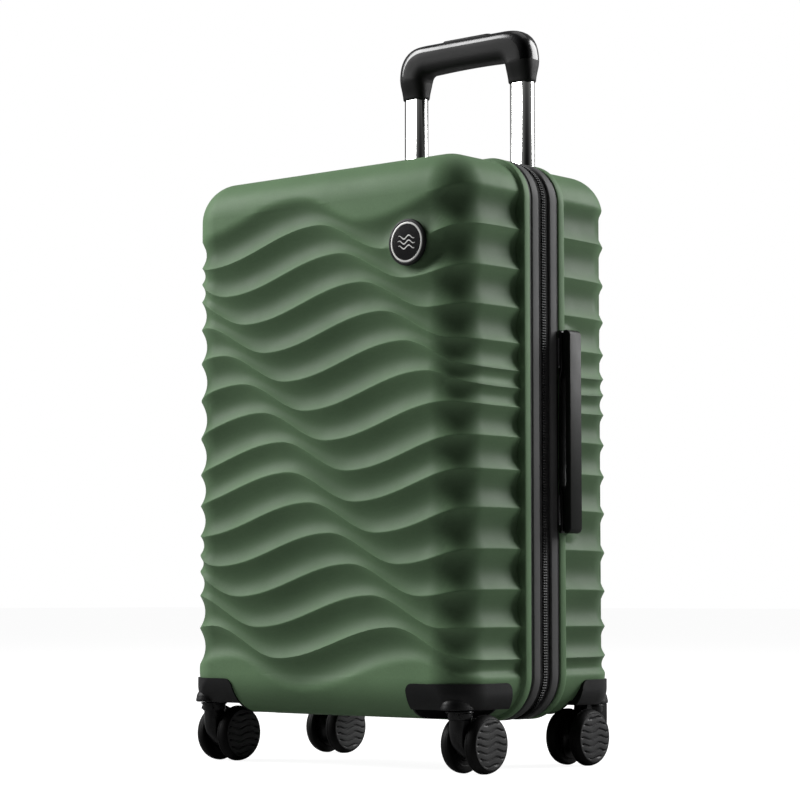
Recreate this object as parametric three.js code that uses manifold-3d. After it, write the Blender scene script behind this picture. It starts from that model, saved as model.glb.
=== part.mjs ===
// Hard-shell upright case with four twin-wheel casters and a two-stage pull handle.
// Millimetres, +Z up, X across the case, -Y the front face, the zip plane midway.

import * as THREE from 'three';
import { mergeVertices } from 'three/addons/utils/BufferGeometryUtils.js';
import Module from 'manifold-3d';

const wasm = await Module();
wasm.setup();

// Shells
const shellWidth = 336;
const shellDepth = 238;
const shellTop = 550;
const outlineRadius = 38;
const edgeRound = 36;
const shellWall = 2.4;
const flangeStand = 3.5;
const flangeDepth = 30;
const flangeStep = 1.5;
const rimDepth = 21.5;

// Zip band and hinge tape
const pipingNear = 8;
const pipingThickness = 2.9;
const tapeThickness = 2;
const tapeSink = 2;
const hingeTapeThickness = 1;
const hingeTapeMargin = 80;

// Lining, divider and straps
const liningGap = 5.6;
const liningThickness = 1.2;
const liningLift = 18;
const liningRim = 14;
const rearLiningRound = 12;
const tubeClearance = 1.5;
const dividerThickness = 2.5;
const dividerGap = 2;
const dividerSide = 4;
const strapWidth = 38;
const strapThickness = 1.5;
const buckleWidth = 55;
const buckleHeight = 48;
const buckleThickness = 7;

// Badge
const badgeRadius = 21;
const badgeThickness = 4.2;
const badgeInset = 57;
const badgeBelowTop = 82;

// Corner guards and casters
const guardHeight = 23;
const guardArmX = 62;
const guardFlangeGap = 14.5;
const guardStand = 1.5;
const guardRadius = 24;
const plateThickness = 4;
const cupDepth = 9;
const cupClearance = 2.9;
const cupWall = 2.3;
const domeRadius = 14.5;
const domeSide = 4;
const domeCrown = 9;
const swivelInsetX = 18.5;
const swivelInsetY = 22;
const wheelTrail = 20.5;
const wheelRadius = 26;
const wheelWidth = 11;
const wheelShoulder = 4;
const wheelGap = 17;
const wheelHeadroom = 4;
const forkThickness = 15.4;
const forkHub = 14;
const collarRadius = 11;
const collarHeight = 4;
const kingpinRadius = 4;
const kingpinHeight = 7;
const axleRadius = 3;

// Pull handle
const tubeX = 67;
const tubeShellGap = 1.8;
const innerTubeWidth = 26;
const innerTubeDepth = 16;
const tubeWall = 1;
const slideGap = 0.4;
const tubeFootGap = 2.85;
const middleTubeLift = 125;
const innerTubeLift = 105;
const handleLift = 103;
const gripWall = 2.5;
const gripFaceWall = 5.5;
const gripCorner = 20;
const gripRise = 53;
const gripSocket = 8;
const buttonLength = 60;
const buttonWidth = 11.4;
const buttonDepth = 6;
const buttonStand = 1.2;
const buttonTravel = 3;
const bezelSide = 13.2;
const bezelFront = 3.2;
const bezelStand = 1.5;
const bezelDrop = 28;
const bracketHeight = 6.5;
const bracketDepth = 15;

// Carry handles
const sideHandleLength = 185;
const topHandleLength = 170;
const handleWidth = 20;
const handleStand = 16.4;
const sideHandleLift = 6;
const sideHandleY = 29;
const basePlate = 5.4;
const baseBlock = 8;
const baseBlockLength = 36;
const gripInner = 8.5;
const archInner = 10.8;
const archRun = 8;
const legInset = 20;
const legLength = 5;
const legWidth = 10;
const legReach = 7;

// Zip sliders and lock
const sliderX = 13;
const sliderLength = 14;
const sliderWidth = 10;
const sliderHeight = 3.7;
const pullLength = 30;
const pullWidth = 7;
const pullThickness = 1.8;
const pullLift = 0.6;
const lockLength = 72;
const lockWidth = 15;
const lockHeight = 8;
const lockGap = 1.5;
const dialRadius = 5.5;
const dialWidth = 4.5;
const dialPitch = 7;
const dialSink = 1.3;
const latchLength = 12;
const latchWidth = 8;
const latchHeight = 5;
const latchX = 18;
const latchTravel = 3;

const clearance = 0.3;
const cornerSteps = 5;
const roundSteps = 4;
const wellSegments = 28;
const reach = 400;

// Values that follow from the sizes above
const halfWidth = shellWidth / 2;
const halfDepth = shellDepth / 2;
const wheelTop = 2 * wheelRadius;
const guardBottom = wheelTop + wheelHeadroom;
const guardTop = guardBottom + guardHeight;
const shellBottom = guardBottom - cupDepth;
const shellMiddle = (shellTop + shellBottom) / 2;
const liningFloor = shellBottom + liningLift;
const outerTubeWidth = innerTubeWidth + 4 * (slideGap + tubeWall);
const outerTubeDepth = innerTubeDepth + 4 * (slideGap + tubeWall);
const tubeY = halfDepth - shellWall - tubeShellGap - outerTubeDepth / 2;
const outerTubeBottom = innerRise(tubeY + outerTubeDepth / 2) + tubeFootGap;
const cupRadius = wheelSweep(shellBottom) + cupClearance + cupWall;
const swivelX = halfWidth - swivelInsetX;
const swivelY = halfDepth - swivelInsetY;
const bezelNear = tubeY - outerTubeDepth / 2 - bezelFront;
const gripThickness = innerTubeWidth + 2 * gripWall;
const gripDepth = innerTubeDepth + 2 * gripFaceWall;
const gripBottom = shellTop + handleLift;
const gripMiddle = gripBottom + gripRise - gripThickness / 2;
const lockY = flangeDepth + flangeStep + lockGap + lockWidth / 2;
const topHandleY = (lockY + lockWidth / 2 + bezelNear) / 2;
const liningInset = shellWall + liningGap;

// Height of the shell's inner face at a depth, where it curves up from the floor to the wall
function innerRise(depth) {
  const round = edgeRound - shellWall;
  const run = Math.max(depth - (halfDepth - edgeRound), 0);
  return shellBottom + shellWall + round - Math.sqrt(round * round - run * run);
}

// How far from its swivel line a caster's wheels reach at a height, as they swing round
function wheelSweep(height) {
  const chord = Math.sqrt(wheelRadius * wheelRadius - (height - wheelRadius) ** 2);
  return Math.hypot(wheelTrail + chord, wheelGap / 2 + wheelWidth);
}

const finishes = {
  shell: { color: 0x5f7a5c, roughness: 0.5, metalness: 0 },
  trim: { color: 0x1d1e1f, roughness: 0.5, metalness: 0 },
  piping: { color: 0x545454, roughness: 0.6, metalness: 0 },
  zip: { color: 0x0c0c0d, roughness: 0.8, metalness: 0 },
  fabric: { color: 0x2a2c2e, roughness: 0.95, metalness: 0 },
  chrome: { color: 0xd8d9db, roughness: 0.15, metalness: 1 },
  steel: { color: 0x8f9294, roughness: 0.4, metalness: 1 },
  tread: { color: 0x101010, roughness: 0.75, metalness: 0 },
};

const suitcase = new THREE.Group();

function addPiece(name, geometry, finish) {
  const mesh = new THREE.Mesh(geometry, new THREE.MeshStandardMaterial(finishes[finish]));
  mesh.name = name;
  suitcase.add(mesh);
  return mesh;
}

// A closed geometry from corner points and triangles, turned so that its faces point out
function closedGeometry(points, triangles) {
  let volume = 0;
  const [a, b, c] = [new THREE.Vector3(), new THREE.Vector3(), new THREE.Vector3()];
  for (const [i, j, k] of triangles) {
    a.fromArray(points[i]);
    b.fromArray(points[j]);
    c.fromArray(points[k]);
    volume += a.dot(b.cross(c));
  }
  const turned = volume < 0 ? triangles.map(([i, j, k]) => [i, k, j]) : triangles;
  const geometry = new THREE.BufferGeometry();
  geometry.setAttribute('position', new THREE.Float32BufferAttribute(points.flat(), 3));
  geometry.setIndex(turned.flat());
  return geometry;
}

// A solid skinned over rings of points: closed by a cap at each end, or looped into a ring
function solidFromRings(rings, looped = false) {
  const count = rings[0].length;
  const points = rings.flat();
  const triangles = [];
  const spans = looped ? rings.length : rings.length - 1;
  for (let ring = 0; ring < spans; ring += 1) {
    const here = ring * count;
    const there = ((ring + 1) % rings.length) * count;
    for (let i = 0; i < count; i += 1) {
      const j = (i + 1) % count;
      triangles.push([here + i, here + j, there + j], [here + i, there + j, there + i]);
    }
  }
  if (!looped) {
    for (const ring of [0, rings.length - 1]) {
      const middle = [0, 1, 2].map((axis) => rings[ring].reduce((sum, p) => sum + p[axis], 0) / count);
      points.push(middle);
      for (let i = 0; i < count; i += 1) {
        const edge = [ring * count + i, ring * count + ((i + 1) % count)];
        triangles.push(ring === 0 ? [edge[1], edge[0], points.length - 1] : [...edge, points.length - 1]);
      }
    }
  }
  return closedGeometry(points, triangles);
}

function toManifold(geometry) {
  const bare = geometry.clone();
  bare.deleteAttribute('normal');
  bare.deleteAttribute('uv');
  const merged = mergeVertices(bare, 1e-4);
  const mesh = new wasm.Mesh({
    numProp: 3,
    vertProperties: new Float32Array(merged.attributes.position.array),
    triVerts: new Uint32Array(merged.index.array),
  });
  return new wasm.Manifold(mesh);
}

function toGeometry(manifold) {
  const mesh = manifold.getMesh();
  const geometry = new THREE.BufferGeometry();
  geometry.setAttribute('position', new THREE.Float32BufferAttribute(mesh.vertProperties, 3));
  geometry.setIndex(Array.from(mesh.triVerts));
  return geometry;
}

function box(sizeX, sizeY, sizeZ, x, y, z) {
  return new THREE.BoxGeometry(sizeX, sizeY, sizeZ).translate(x, y, z);
}

// A round bar between two heights, standing at x, y
function uprightCylinder(radius, bottom, top, x, y, segments = 24) {
  const bar = new THREE.CylinderGeometry(radius, radius, top - bottom, segments);
  return bar.rotateX(Math.PI / 2).translate(x, y, (bottom + top) / 2);
}

// A round bar along X
function crossCylinder(radius, length, x, y, z, segments = 24) {
  return new THREE.CylinderGeometry(radius, radius, length, segments).rotateZ(Math.PI / 2).translate(x, y, z);
}

// Merges double points, drops slivers and turns the faces outwards
function tidied(geometry) {
  const bare = geometry.clone();
  bare.deleteAttribute('normal');
  bare.deleteAttribute('uv');
  const merged = mergeVertices(bare, 1e-4);
  const points = [];
  for (let i = 0; i < merged.attributes.position.count; i += 1) {
    points.push(new THREE.Vector3().fromBufferAttribute(merged.attributes.position, i).toArray());
  }
  const triangles = [];
  for (let i = 0; i < merged.index.count; i += 3) {
    const triangle = [0, 1, 2].map((corner) => merged.index.getX(i + corner));
    if (new Set(triangle).size === 3) {
      triangles.push(triangle);
    }
  }
  return closedGeometry(points, triangles);
}

// A lathe turned about an upright line at x, y, from [radius, height] points
function uprightLathe(profile, x, y, segments = 24) {
  const points = profile.map(([radius, height]) => new THREE.Vector2(radius, height));
  return tidied(new THREE.LatheGeometry(points, segments).rotateX(Math.PI / 2).translate(x, y, 0));
}

// The case's rounded outline in the XZ plane, inset from the outer wall line
function caseOutline(inset, radius = outlineRadius, floor = shellBottom) {
  const side = halfWidth - inset;
  const corner = Math.max(radius - inset, cornerSteps / 2);
  const high = shellTop - inset - corner;
  const low = floor + inset + corner;
  const quarters = [[1, high], [-1, high], [-1, low], [1, low]];
  return quarters.flatMap(([sign, z], quarter) => Array.from({ length: cornerSteps + 1 }, (_, step) => {
    const angle = (quarter + step / cornerSteps) * (Math.PI / 2);
    return [sign * (side - corner) + corner * Math.cos(angle), z + corner * Math.sin(angle)];
  }));
}

// Rings for [inset, depth] pairs; end is -1 for the front half and 1 for the rear half
function caseRings(profile, end, radius, floor) {
  return profile.map(([inset, depth]) => caseOutline(inset, radius, floor).map(([x, z]) => [x, end * depth, z]));
}

// Insets and depths from the flat face, round the edge and along the wall to the open side
function wallProfile(inset, faceDepth, round, openDepth) {
  const profile = [];
  for (let step = 0; step <= roundSteps; step += 1) {
    const turn = (step / roundSteps) * (Math.PI / 2);
    profile.push([inset + round * (1 - Math.sin(turn)), faceDepth - round * (1 - Math.cos(turn))]);
  }
  profile.push([inset, openDepth]);
  return profile;
}

// The whole space inside one half's outer wall, grown by a margin
function halfVolume(end, grow, radius = outlineRadius) {
  const profile = wallProfile(-grow, halfDepth + grow, edgeRound + grow, 0);
  return toManifold(solidFromRings(caseRings(profile, end, radius)));
}

function shellBody(end) {
  const stepDepth = flangeDepth + flangeStep;
  const outer = wallProfile(0, halfDepth, edgeRound, stepDepth);
  outer.push([-flangeStand, flangeDepth], [-flangeStand, rimDepth]);
  const inner = wallProfile(shellWall, halfDepth - shellWall, edgeRound - shellWall, stepDepth + shellWall);
  inner.push([shellWall - flangeStand, flangeDepth], [shellWall - flangeStand, rimDepth]);
  return toManifold(solidFromRings(caseRings([...outer, ...inner.reverse()], end)));
}

// The space that the flange and piping take outside the wall line, with clearance
function flangeSpace(end) {
  const outside = -flangeStand - clearance;
  const far = flangeDepth + flangeStep + clearance;
  const near = pipingNear - clearance;
  return toManifold(solidFromRings(caseRings([[outside, far], [outside, near], [1, near], [1, far]], end), true));
}

function pipingBody(end) {
  const outside = -flangeStand + clearance / 2;
  const inside = outside + pipingThickness;
  const near = pipingNear;
  const far = rimDepth - clearance;
  return solidFromRings(caseRings([[outside, far], [outside, near], [inside, near], [inside, far]], end), true);
}

function zipTapeBody(end) {
  const outside = -flangeStand + tapeSink;
  const inside = outside + tapeThickness;
  const near = clearance;
  const far = pipingNear - clearance;
  return solidFromRings(caseRings([[outside, far], [outside, near], [inside, near], [inside, far]], end), true);
}

// A thin fabric pan inside one half
function liningBody(end, faceDepth, round) {
  const floor = liningFloor - liningInset;
  const outer = wallProfile(liningInset, faceDepth, round, liningRim);
  const thinner = Math.max(round - liningThickness, 1);
  const inner = wallProfile(liningInset + liningThickness, faceDepth - liningThickness, thinner, liningRim);
  return solidFromRings(caseRings([...outer, ...inner.reverse()], end, outlineRadius, floor));
}

// A solid with a flat-sided, round-ended section standing along Z, with a hole when a wall is given
function stadiumBar(width, depth, bottom, top, x, y, wall = 0) {
  const trace = (path, w, d) => {
    const run = (w - d) / 2;
    path.absarc(run, 0, d / 2, -Math.PI / 2, Math.PI / 2, false);
    path.absarc(-run, 0, d / 2, Math.PI / 2, 1.5 * Math.PI, false);
    return path;
  };
  const shape = trace(new THREE.Shape(), width, depth);
  if (wall > 0) {
    shape.holes.push(trace(new THREE.Path(), width - 2 * wall, depth - 2 * wall));
  }
  const settings = { depth: top - bottom, bevelEnabled: false, curveSegments: 6 };
  return new THREE.ExtrudeGeometry(shape, settings).translate(x, y, bottom);
}

// The swivel bearing's domed housing
function domeSolid(x, y, grow) {
  const crownSteps = 3;
  const side = guardBottom + domeSide;
  const profile = [[0, guardBottom - grow], [domeRadius + grow, guardBottom - grow]];
  for (let step = 0; step < crownSteps; step += 1) {
    const turn = (step / crownSteps) * (Math.PI / 2);
    profile.push([(domeRadius + grow) * Math.cos(turn), side + (domeCrown + grow) * Math.sin(turn)]);
  }
  profile.push([0, side + domeCrown + grow]);
  return toManifold(uprightLathe(profile, x, y));
}

// Corner guard: a wrap round the shell's corner, a cup over the caster and the swivel dome
function casterHead(xSign, end) {
  const x = xSign * swivelX;
  const y = end * swivelY;
  const spanX = guardArmX + reach;
  const armEnd = flangeDepth + flangeStep + guardFlangeGap;
  const spanY = halfDepth - armEnd + reach;
  const region = box(
    spanX, spanY, guardTop - guardBottom,
    xSign * (halfWidth - guardArmX + spanX / 2),
    end * (armEnd + spanY / 2),
    (guardTop + guardBottom) / 2,
  );
  const cup = uprightLathe([
    [0, guardBottom], [cupRadius - cupWall, guardBottom], [cupRadius - cupWall, shellBottom],
    [cupRadius, shellBottom], [cupRadius, guardBottom + plateThickness], [0, guardBottom + plateThickness],
  ], x, y, wellSegments);
  const envelope = halfVolume(end, guardStand, guardRadius);
  const wrap = envelope.intersect(toManifold(region)).subtract(halfVolume(end, clearance));
  const sweep = uprightCylinder(cupRadius - cupWall, shellBottom - reach, guardBottom, x, y, wellSegments);
  const pinTop = guardBottom + kingpinHeight + clearance;
  const pinHole = uprightCylinder(kingpinRadius + clearance, shellBottom, pinTop, x, y, 16);
  const head = wrap.add(toManifold(cup).intersect(envelope)).add(domeSolid(x, y, 0));
  return head.subtract(toManifold(sweep)).subtract(toManifold(pinHole));
}

// What the cup and dome need cut from the shell
function casterWell(xSign, end) {
  const x = xSign * swivelX;
  const y = end * swivelY;
  const wellTop = guardBottom + plateThickness + clearance;
  const well = uprightCylinder(cupRadius + clearance, shellBottom - reach, wellTop, x, y, wellSegments);
  return toManifold(well).add(domeSolid(x, y, clearance));
}

// A caster's fork: collar and kingpin on the swivel line, a leg and a hub between the wheels
function casterFork(xSign, end) {
  const trail = -end * wheelTrail;
  const collarTop = guardBottom - clearance * 2;
  const legHalf = collarRadius - 2;
  const legTop = collarTop - collarHeight / 2;
  const shape = new THREE.Shape();
  const sideways = Math.sign(trail);
  shape.moveTo(-sideways * legHalf, legTop);
  shape.lineTo(-sideways * legHalf, wheelRadius + forkHub / 2);
  shape.lineTo(trail - sideways * forkHub * 0.8, wheelRadius - forkHub * 0.6);
  shape.lineTo(trail, wheelRadius - forkHub);
  shape.lineTo(trail + sideways * forkHub * 0.7, wheelRadius - forkHub * 0.7);
  shape.lineTo(trail + sideways * forkHub, wheelRadius);
  shape.lineTo(trail + sideways * forkHub * 0.7, wheelRadius + forkHub * 0.7);
  shape.lineTo(sideways * legHalf, legTop);
  shape.closePath();
  const leg = new THREE.ExtrudeGeometry(shape, { depth: forkThickness, bevelEnabled: false });
  leg.rotateX(Math.PI / 2).rotateZ(Math.PI / 2).translate(-forkThickness / 2, 0, 0);
  const collar = uprightCylinder(collarRadius, collarTop - collarHeight, collarTop, 0, 0);
  const pin = uprightCylinder(kingpinRadius, collarTop - 1, guardBottom + kingpinHeight, 0, 0, 16);
  const hole = crossCylinder(axleRadius + clearance, forkThickness + 2, 0, trail, wheelRadius, 16);
  const fork = toManifold(leg).add(toManifold(collar)).add(toManifold(pin)).subtract(toManifold(hole));
  return toGeometry(fork).translate(xSign * swivelX, end * swivelY, 0);
}

// One wheel of a twin: a ring with rounded shoulders, turned about X
function casterWheel(x, y) {
  const bore = axleRadius + clearance;
  const half = wheelWidth / 2;
  const profile = [[bore, -half], [wheelRadius - wheelShoulder, -half]];
  const shoulderSteps = 2;
  for (const side of [-1, 1]) {
    for (let step = 1; step <= shoulderSteps; step += 1) {
      const part = side < 0 ? step : shoulderSteps - step;
      const turn = (part / shoulderSteps) * (Math.PI / 2);
      const radius = wheelRadius - wheelShoulder * (1 - Math.sin(turn));
      profile.push([radius, side * (half - wheelShoulder * (1 - Math.cos(turn)))]);
    }
    if (side < 0) {
      profile.push([wheelRadius, half - wheelShoulder]);
    }
  }
  profile.push([bore, half], [bore, -half]);
  const ring = uprightLathe(profile, 0, 0, 24);
  return ring.rotateY(Math.PI / 2).translate(x, y, wheelRadius);
}

// The pull handle's grip: a U swept through rings, with sockets for the tubes and a button pocket
function trolleyGrip() {
  const along = [];
  const cornerX = tubeX - gripCorner;
  const cornerZ = gripMiddle - gripCorner;
  const bendSteps = 5;
  along.push([-tubeX, gripBottom, 0]);
  for (let step = 0; step <= bendSteps; step += 1) {
    const turn = (step / bendSteps) * (Math.PI / 2);
    along.push([-cornerX - gripCorner * Math.cos(turn), cornerZ + gripCorner * Math.sin(turn), turn]);
  }
  const half = along.map(([x, z, turn]) => [-x, z, Math.PI - turn]).reverse();
  const sectionSteps = 3;
  const sectionRound = 9;
  const rings = [...along, ...half].map(([x, z, turn]) => {
    const ring = [];
    for (let quarter = 0; quarter < 4; quarter += 1) {
      for (let step = 0; step <= sectionSteps; step += 1) {
        const angle = (quarter + step / sectionSteps) * (Math.PI / 2);
        const out = [1, -1, -1, 1][quarter] * (gripThickness / 2 - sectionRound) + sectionRound * Math.cos(angle);
        const over = [1, 1, -1, -1][quarter] * (gripDepth / 2 - sectionRound) + sectionRound * Math.sin(angle);
        ring.push([x - out * Math.cos(turn), tubeY + over, z + out * Math.sin(turn)]);
      }
    }
    return ring;
  });
  let grip = toManifold(solidFromRings(rings));
  for (const xSign of [-1, 1]) {
    const socket = stadiumBar(
      innerTubeWidth + 2 * clearance, innerTubeDepth + 2 * clearance,
      gripBottom - 1, gripBottom + gripSocket + clearance, xSign * tubeX, tubeY,
    );
    grip = grip.subtract(toManifold(socket));
  }
  const gripTop = gripBottom + gripRise;
  const pocketDepth = buttonDepth + buttonTravel;
  const pocket = box(
    buttonLength + 2 * clearance, buttonWidth + 2 * clearance, 2 * pocketDepth, 0, tubeY, gripTop,
  );
  return grip.subtract(toManifold(pocket));
}

// Black surround where the tubes leave the rear shell's top edge
function trolleyBezel() {
  const width = 2 * (tubeX + outerTubeWidth / 2 + bezelSide);
  const far = halfDepth + bezelStand / 3;
  const height = bezelDrop + bezelStand;
  const block = box(
    width, far - bezelNear, height, 0, (bezelNear + far) / 2, shellTop + bezelStand - height / 2,
  );
  let bezel = toManifold(block).subtract(halfVolume(1, clearance));
  for (const xSign of [-1, 1]) {
    bezel = bezel.subtract(tubeCut(xSign));
  }
  return bezel;
}

function tubeCut(xSign) {
  const width = outerTubeWidth + 2 * clearance;
  const depth = outerTubeDepth + 2 * clearance;
  return toManifold(stadiumBar(width, depth, shellTop - reach / 4, shellTop + reach, xSign * tubeX, tubeY));
}

// Places a handle made along X, standing up Z: run is its length direction, out is where it stands
function handleMatrix(run, out, centre) {
  const across = new THREE.Vector3().crossVectors(out, run);
  return new THREE.Matrix4().makeBasis(run, across, out).setPosition(centre);
}

function profileSlab(points, width) {
  const shape = new THREE.Shape(points.map(([along, out]) => new THREE.Vector2(along, out)));
  const slab = new THREE.ExtrudeGeometry(shape, { depth: width, bevelEnabled: false });
  return slab.rotateX(Math.PI / 2).translate(0, width / 2, 0);
}

// A carry handle's base: a plate with a raised block at each end and slots for the grip's legs
function handleBase(length) {
  const end = length / 2;
  const block = end - baseBlockLength;
  const low = clearance;
  const points = [
    [-end, low], [end, low], [end, baseBlock - 2], [end - 2, baseBlock], [block, baseBlock],
    [block - archRun, basePlate], [-block + archRun, basePlate], [-block, baseBlock],
    [-end + 2, baseBlock], [-end, baseBlock - 2],
  ];
  let base = toManifold(profileSlab(points, handleWidth));
  for (const side of [-1, 1]) {
    base = base.subtract(toManifold(legSlot(length, side)));
  }
  return toGeometry(base);
}

function legSlot(length, side) {
  const slack = 2 * clearance;
  return box(legLength + slack, legWidth + slack, 4 * baseBlock, side * (length / 2 - legInset), 0, 0);
}

// The grip bar with an arch under its middle and two legs that slide in the base
function handleGrip(length) {
  const end = length / 2;
  const round = 4;
  const block = end - baseBlockLength;
  const points = [
    [-end, gripInner], [-block, gripInner], [-block + archRun, archInner], [block - archRun, archInner],
    [block, gripInner], [end, gripInner], [end, handleStand - round], [end - round / 3, handleStand - round / 3],
    [end - round, handleStand], [-end + round, handleStand], [-end + round / 3, handleStand - round / 3],
    [-end, handleStand - round],
  ];
  let grip = toManifold(profileSlab(points, handleWidth - 2));
  for (const side of [-1, 1]) {
    const height = gripInner + legReach + 1;
    const leg = box(legLength, legWidth, height, side * (end - legInset), 0, gripInner + 1 - height / 2);
    grip = grip.add(toManifold(leg));
  }
  return toGeometry(grip);
}

const sidePlace = handleMatrix(
  new THREE.Vector3(0, 0, 1), new THREE.Vector3(1, 0, 0),
  new THREE.Vector3(halfWidth, sideHandleY, shellMiddle + sideHandleLift),
);
const topPlace = handleMatrix(
  new THREE.Vector3(1, 0, 0), new THREE.Vector3(0, 0, 1), new THREE.Vector3(0, topHandleY, shellTop),
);

// Shells, each with its caster wells; the rear one also has the tube holes and handle slots
let frontShell = shellBody(-1);
let rearShell = shellBody(1);
for (const xSign of [-1, 1]) {
  frontShell = frontShell.subtract(casterWell(xSign, -1));
  rearShell = rearShell.subtract(casterWell(xSign, 1)).subtract(tubeCut(xSign));
  rearShell = rearShell.subtract(toManifold(legSlot(sideHandleLength, xSign).applyMatrix4(sidePlace)));
  rearShell = rearShell.subtract(toManifold(legSlot(topHandleLength, xSign).applyMatrix4(topPlace)));
}
addPiece('front_shell', toGeometry(frontShell), 'shell');
addPiece('rear_shell', toGeometry(rearShell), 'shell');
for (const [half, end] of [['front', -1], ['rear', 1]]) {
  addPiece(`${half}_piping`, pipingBody(end), 'piping');
  addPiece(`${half}_zip_tape`, zipTapeBody(end), 'zip');
}

// The fabric spine that joins the halves on the left, over the zip tapes
const tapeOutside = halfWidth + flangeStand - tapeSink;
const spineHeight = shellTop - shellBottom - 2 * hingeTapeMargin;
addPiece('hinge_tape', box(
  hingeTapeThickness, 2 * (pipingNear - clearance * 2), spineHeight,
  -(tapeOutside + clearance + hingeTapeThickness / 2), 0, shellMiddle,
), 'fabric');

// Linings, divider and packing straps
addPiece('front_lining', liningBody(-1, halfDepth - liningInset, edgeRound - liningInset), 'fabric');
const rearFace = tubeY - outerTubeDepth / 2 - tubeClearance;
addPiece('rear_lining', liningBody(1, rearFace, rearLiningRound), 'fabric');
const dividerInset = liningInset + dividerSide;
const dividerDepth = liningRim - dividerGap;
addPiece('divider_panel', solidFromRings(caseRings(
  [[dividerInset, dividerDepth], [dividerInset, dividerDepth - dividerThickness]],
  -1, outlineRadius, liningFloor - liningInset,
)), 'fabric');
const strapEnd = halfWidth - liningInset - 2 * liningThickness;
const strapRun = strapEnd - buckleWidth / 2 - clearance;
for (const [side, xSign] of [['left', -1], ['right', 1]]) {
  addPiece(`strap_${side}`, box(
    strapRun, strapThickness, strapWidth, xSign * (strapEnd - strapRun / 2), liningRim + dividerGap, shellMiddle,
  ), 'fabric');
}
addPiece('strap_buckle', box(
  buckleWidth, buckleThickness, buckleHeight, 0, liningRim + dividerGap, shellMiddle,
), 'trim');

// Badge
const badgeY = -(halfDepth + clearance + badgeThickness / 2);
const badge = new THREE.CylinderGeometry(badgeRadius, badgeRadius, badgeThickness, 32);
addPiece('badge', badge.translate(halfWidth - badgeInset, badgeY, shellTop - badgeBelowTop), 'trim');

// Casters: guard, fork, axle and two wheels at each corner
for (const [half, end] of [['front', -1], ['rear', 1]]) {
  for (const [side, xSign] of [['left', -1], ['right', 1]]) {
    const corner = `${half}_${side}`;
    const wheelY = end * (swivelY - wheelTrail);
    addPiece(`${corner}_guard`, toGeometry(casterHead(xSign, end)), 'trim');
    addPiece(`${corner}_fork`, casterFork(xSign, end), 'trim');
    const axleLength = wheelGap + 2 * wheelWidth - 3;
    const axle = crossCylinder(axleRadius, axleLength, xSign * swivelX, wheelY, wheelRadius, 16);
    addPiece(`${corner}_axle`, axle, 'steel');
    for (const [place, shift] of [['inner', -1], ['outer', 1]]) {
      const wheelX = xSign * (swivelX + shift * (wheelGap + wheelWidth) / 2);
      addPiece(`${corner}_${place}_wheel`, casterWheel(wheelX, wheelY), 'tread');
    }
  }
}

// Pull handle: fixed outer tubes, two sliding stages, the grip and its button
const middleTubeWidth = innerTubeWidth + 2 * (slideGap + tubeWall);
const middleTubeDepth = innerTubeDepth + 2 * (slideGap + tubeWall);
const tubeStages = [
  ['outer', outerTubeWidth, outerTubeDepth, outerTubeBottom, shellTop - 1],
  ['middle', middleTubeWidth, middleTubeDepth, outerTubeBottom + middleTubeLift, shellTop],
  ['inner', innerTubeWidth, innerTubeDepth, outerTubeBottom + innerTubeLift, gripBottom + gripSocket],
];
for (const [stage, width, depth, bottom, top] of tubeStages) {
  for (const [side, xSign] of [['left', -1], ['right', 1]]) {
    const tube = stadiumBar(width, depth, bottom, top, xSign * tubeX, tubeY, tubeWall);
    addPiece(`${stage}_tube_${side}`, tube, 'chrome');
  }
}
addPiece('trolley_grip', toGeometry(trolleyGrip()), 'trim');
const buttonTop = gripBottom + gripRise + buttonStand;
addPiece('trolley_button', box(
  buttonLength, buttonWidth, buttonDepth, 0, tubeY, buttonTop - buttonDepth / 2,
), 'trim');
addPiece('trolley_bezel', toGeometry(trolleyBezel()), 'trim');
addPiece('trolley_bracket', box(
  2 * tubeX + outerTubeWidth, bracketDepth, bracketHeight,
  0, tubeY, outerTubeBottom - clearance - bracketHeight / 2,
), 'steel');

// Carry handles on the right side and the top of the rear shell
for (const [where, length, place] of [
  ['side', sideHandleLength, sidePlace], ['top', topHandleLength, topPlace],
]) {
  const base = toManifold(handleBase(length).applyMatrix4(place)).subtract(flangeSpace(1));
  addPiece(`${where}_handle_base`, toGeometry(base), 'trim');
  addPiece(`${where}_handle_grip`, handleGrip(length).applyMatrix4(place), 'trim');
}

// Two zip sliders on the top run, each with a pull that lies back towards the lock
const tapeTop = shellTop + flangeStand - tapeSink + clearance;
const pullBottom = tapeTop + sliderHeight + pullLift;
for (const [side, xSign] of [['left', -1], ['right', 1]]) {
  const x = xSign * sliderX;
  addPiece(`zip_slider_${side}`, box(
    sliderLength, sliderWidth, sliderHeight, x, 0, tapeTop + sliderHeight / 2,
  ), 'chrome');
  addPiece(`zip_pull_${side}`, box(
    pullWidth, pullLength, pullThickness, x, pullLength / 2, pullBottom + pullThickness / 2,
  ), 'chrome');
}

// Combination lock behind the sliders: body, three dials and a sliding latch
const lockTop = shellTop + clearance + lockHeight;
const dialHeight = lockTop - dialSink;
const latchHeightAt = lockTop + 2 - latchHeight / 2;
let lockBody = toManifold(box(lockLength, lockWidth, lockHeight, 0, lockY, lockTop - lockHeight / 2));
for (let dial = 0; dial < 3; dial += 1) {
  const x = -lockLength / 2 + 2 * dialPitch + dial * dialPitch;
  const slot = crossCylinder(dialRadius + clearance, dialWidth + 2 * clearance, x, lockY, dialHeight);
  lockBody = lockBody.subtract(toManifold(slot));
  addPiece(`lock_dial_${dial + 1}`, crossCylinder(dialRadius, dialWidth, x, lockY, dialHeight), 'chrome');
}
const latchPocket = box(
  latchLength + latchTravel + 3 * clearance, latchWidth + 2 * clearance, latchHeight + 2 * clearance,
  latchX + (latchTravel + clearance) / 2, lockY, latchHeightAt,
);
addPiece('lock_body', toGeometry(lockBody.subtract(toManifold(latchPocket))), 'trim');
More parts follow.
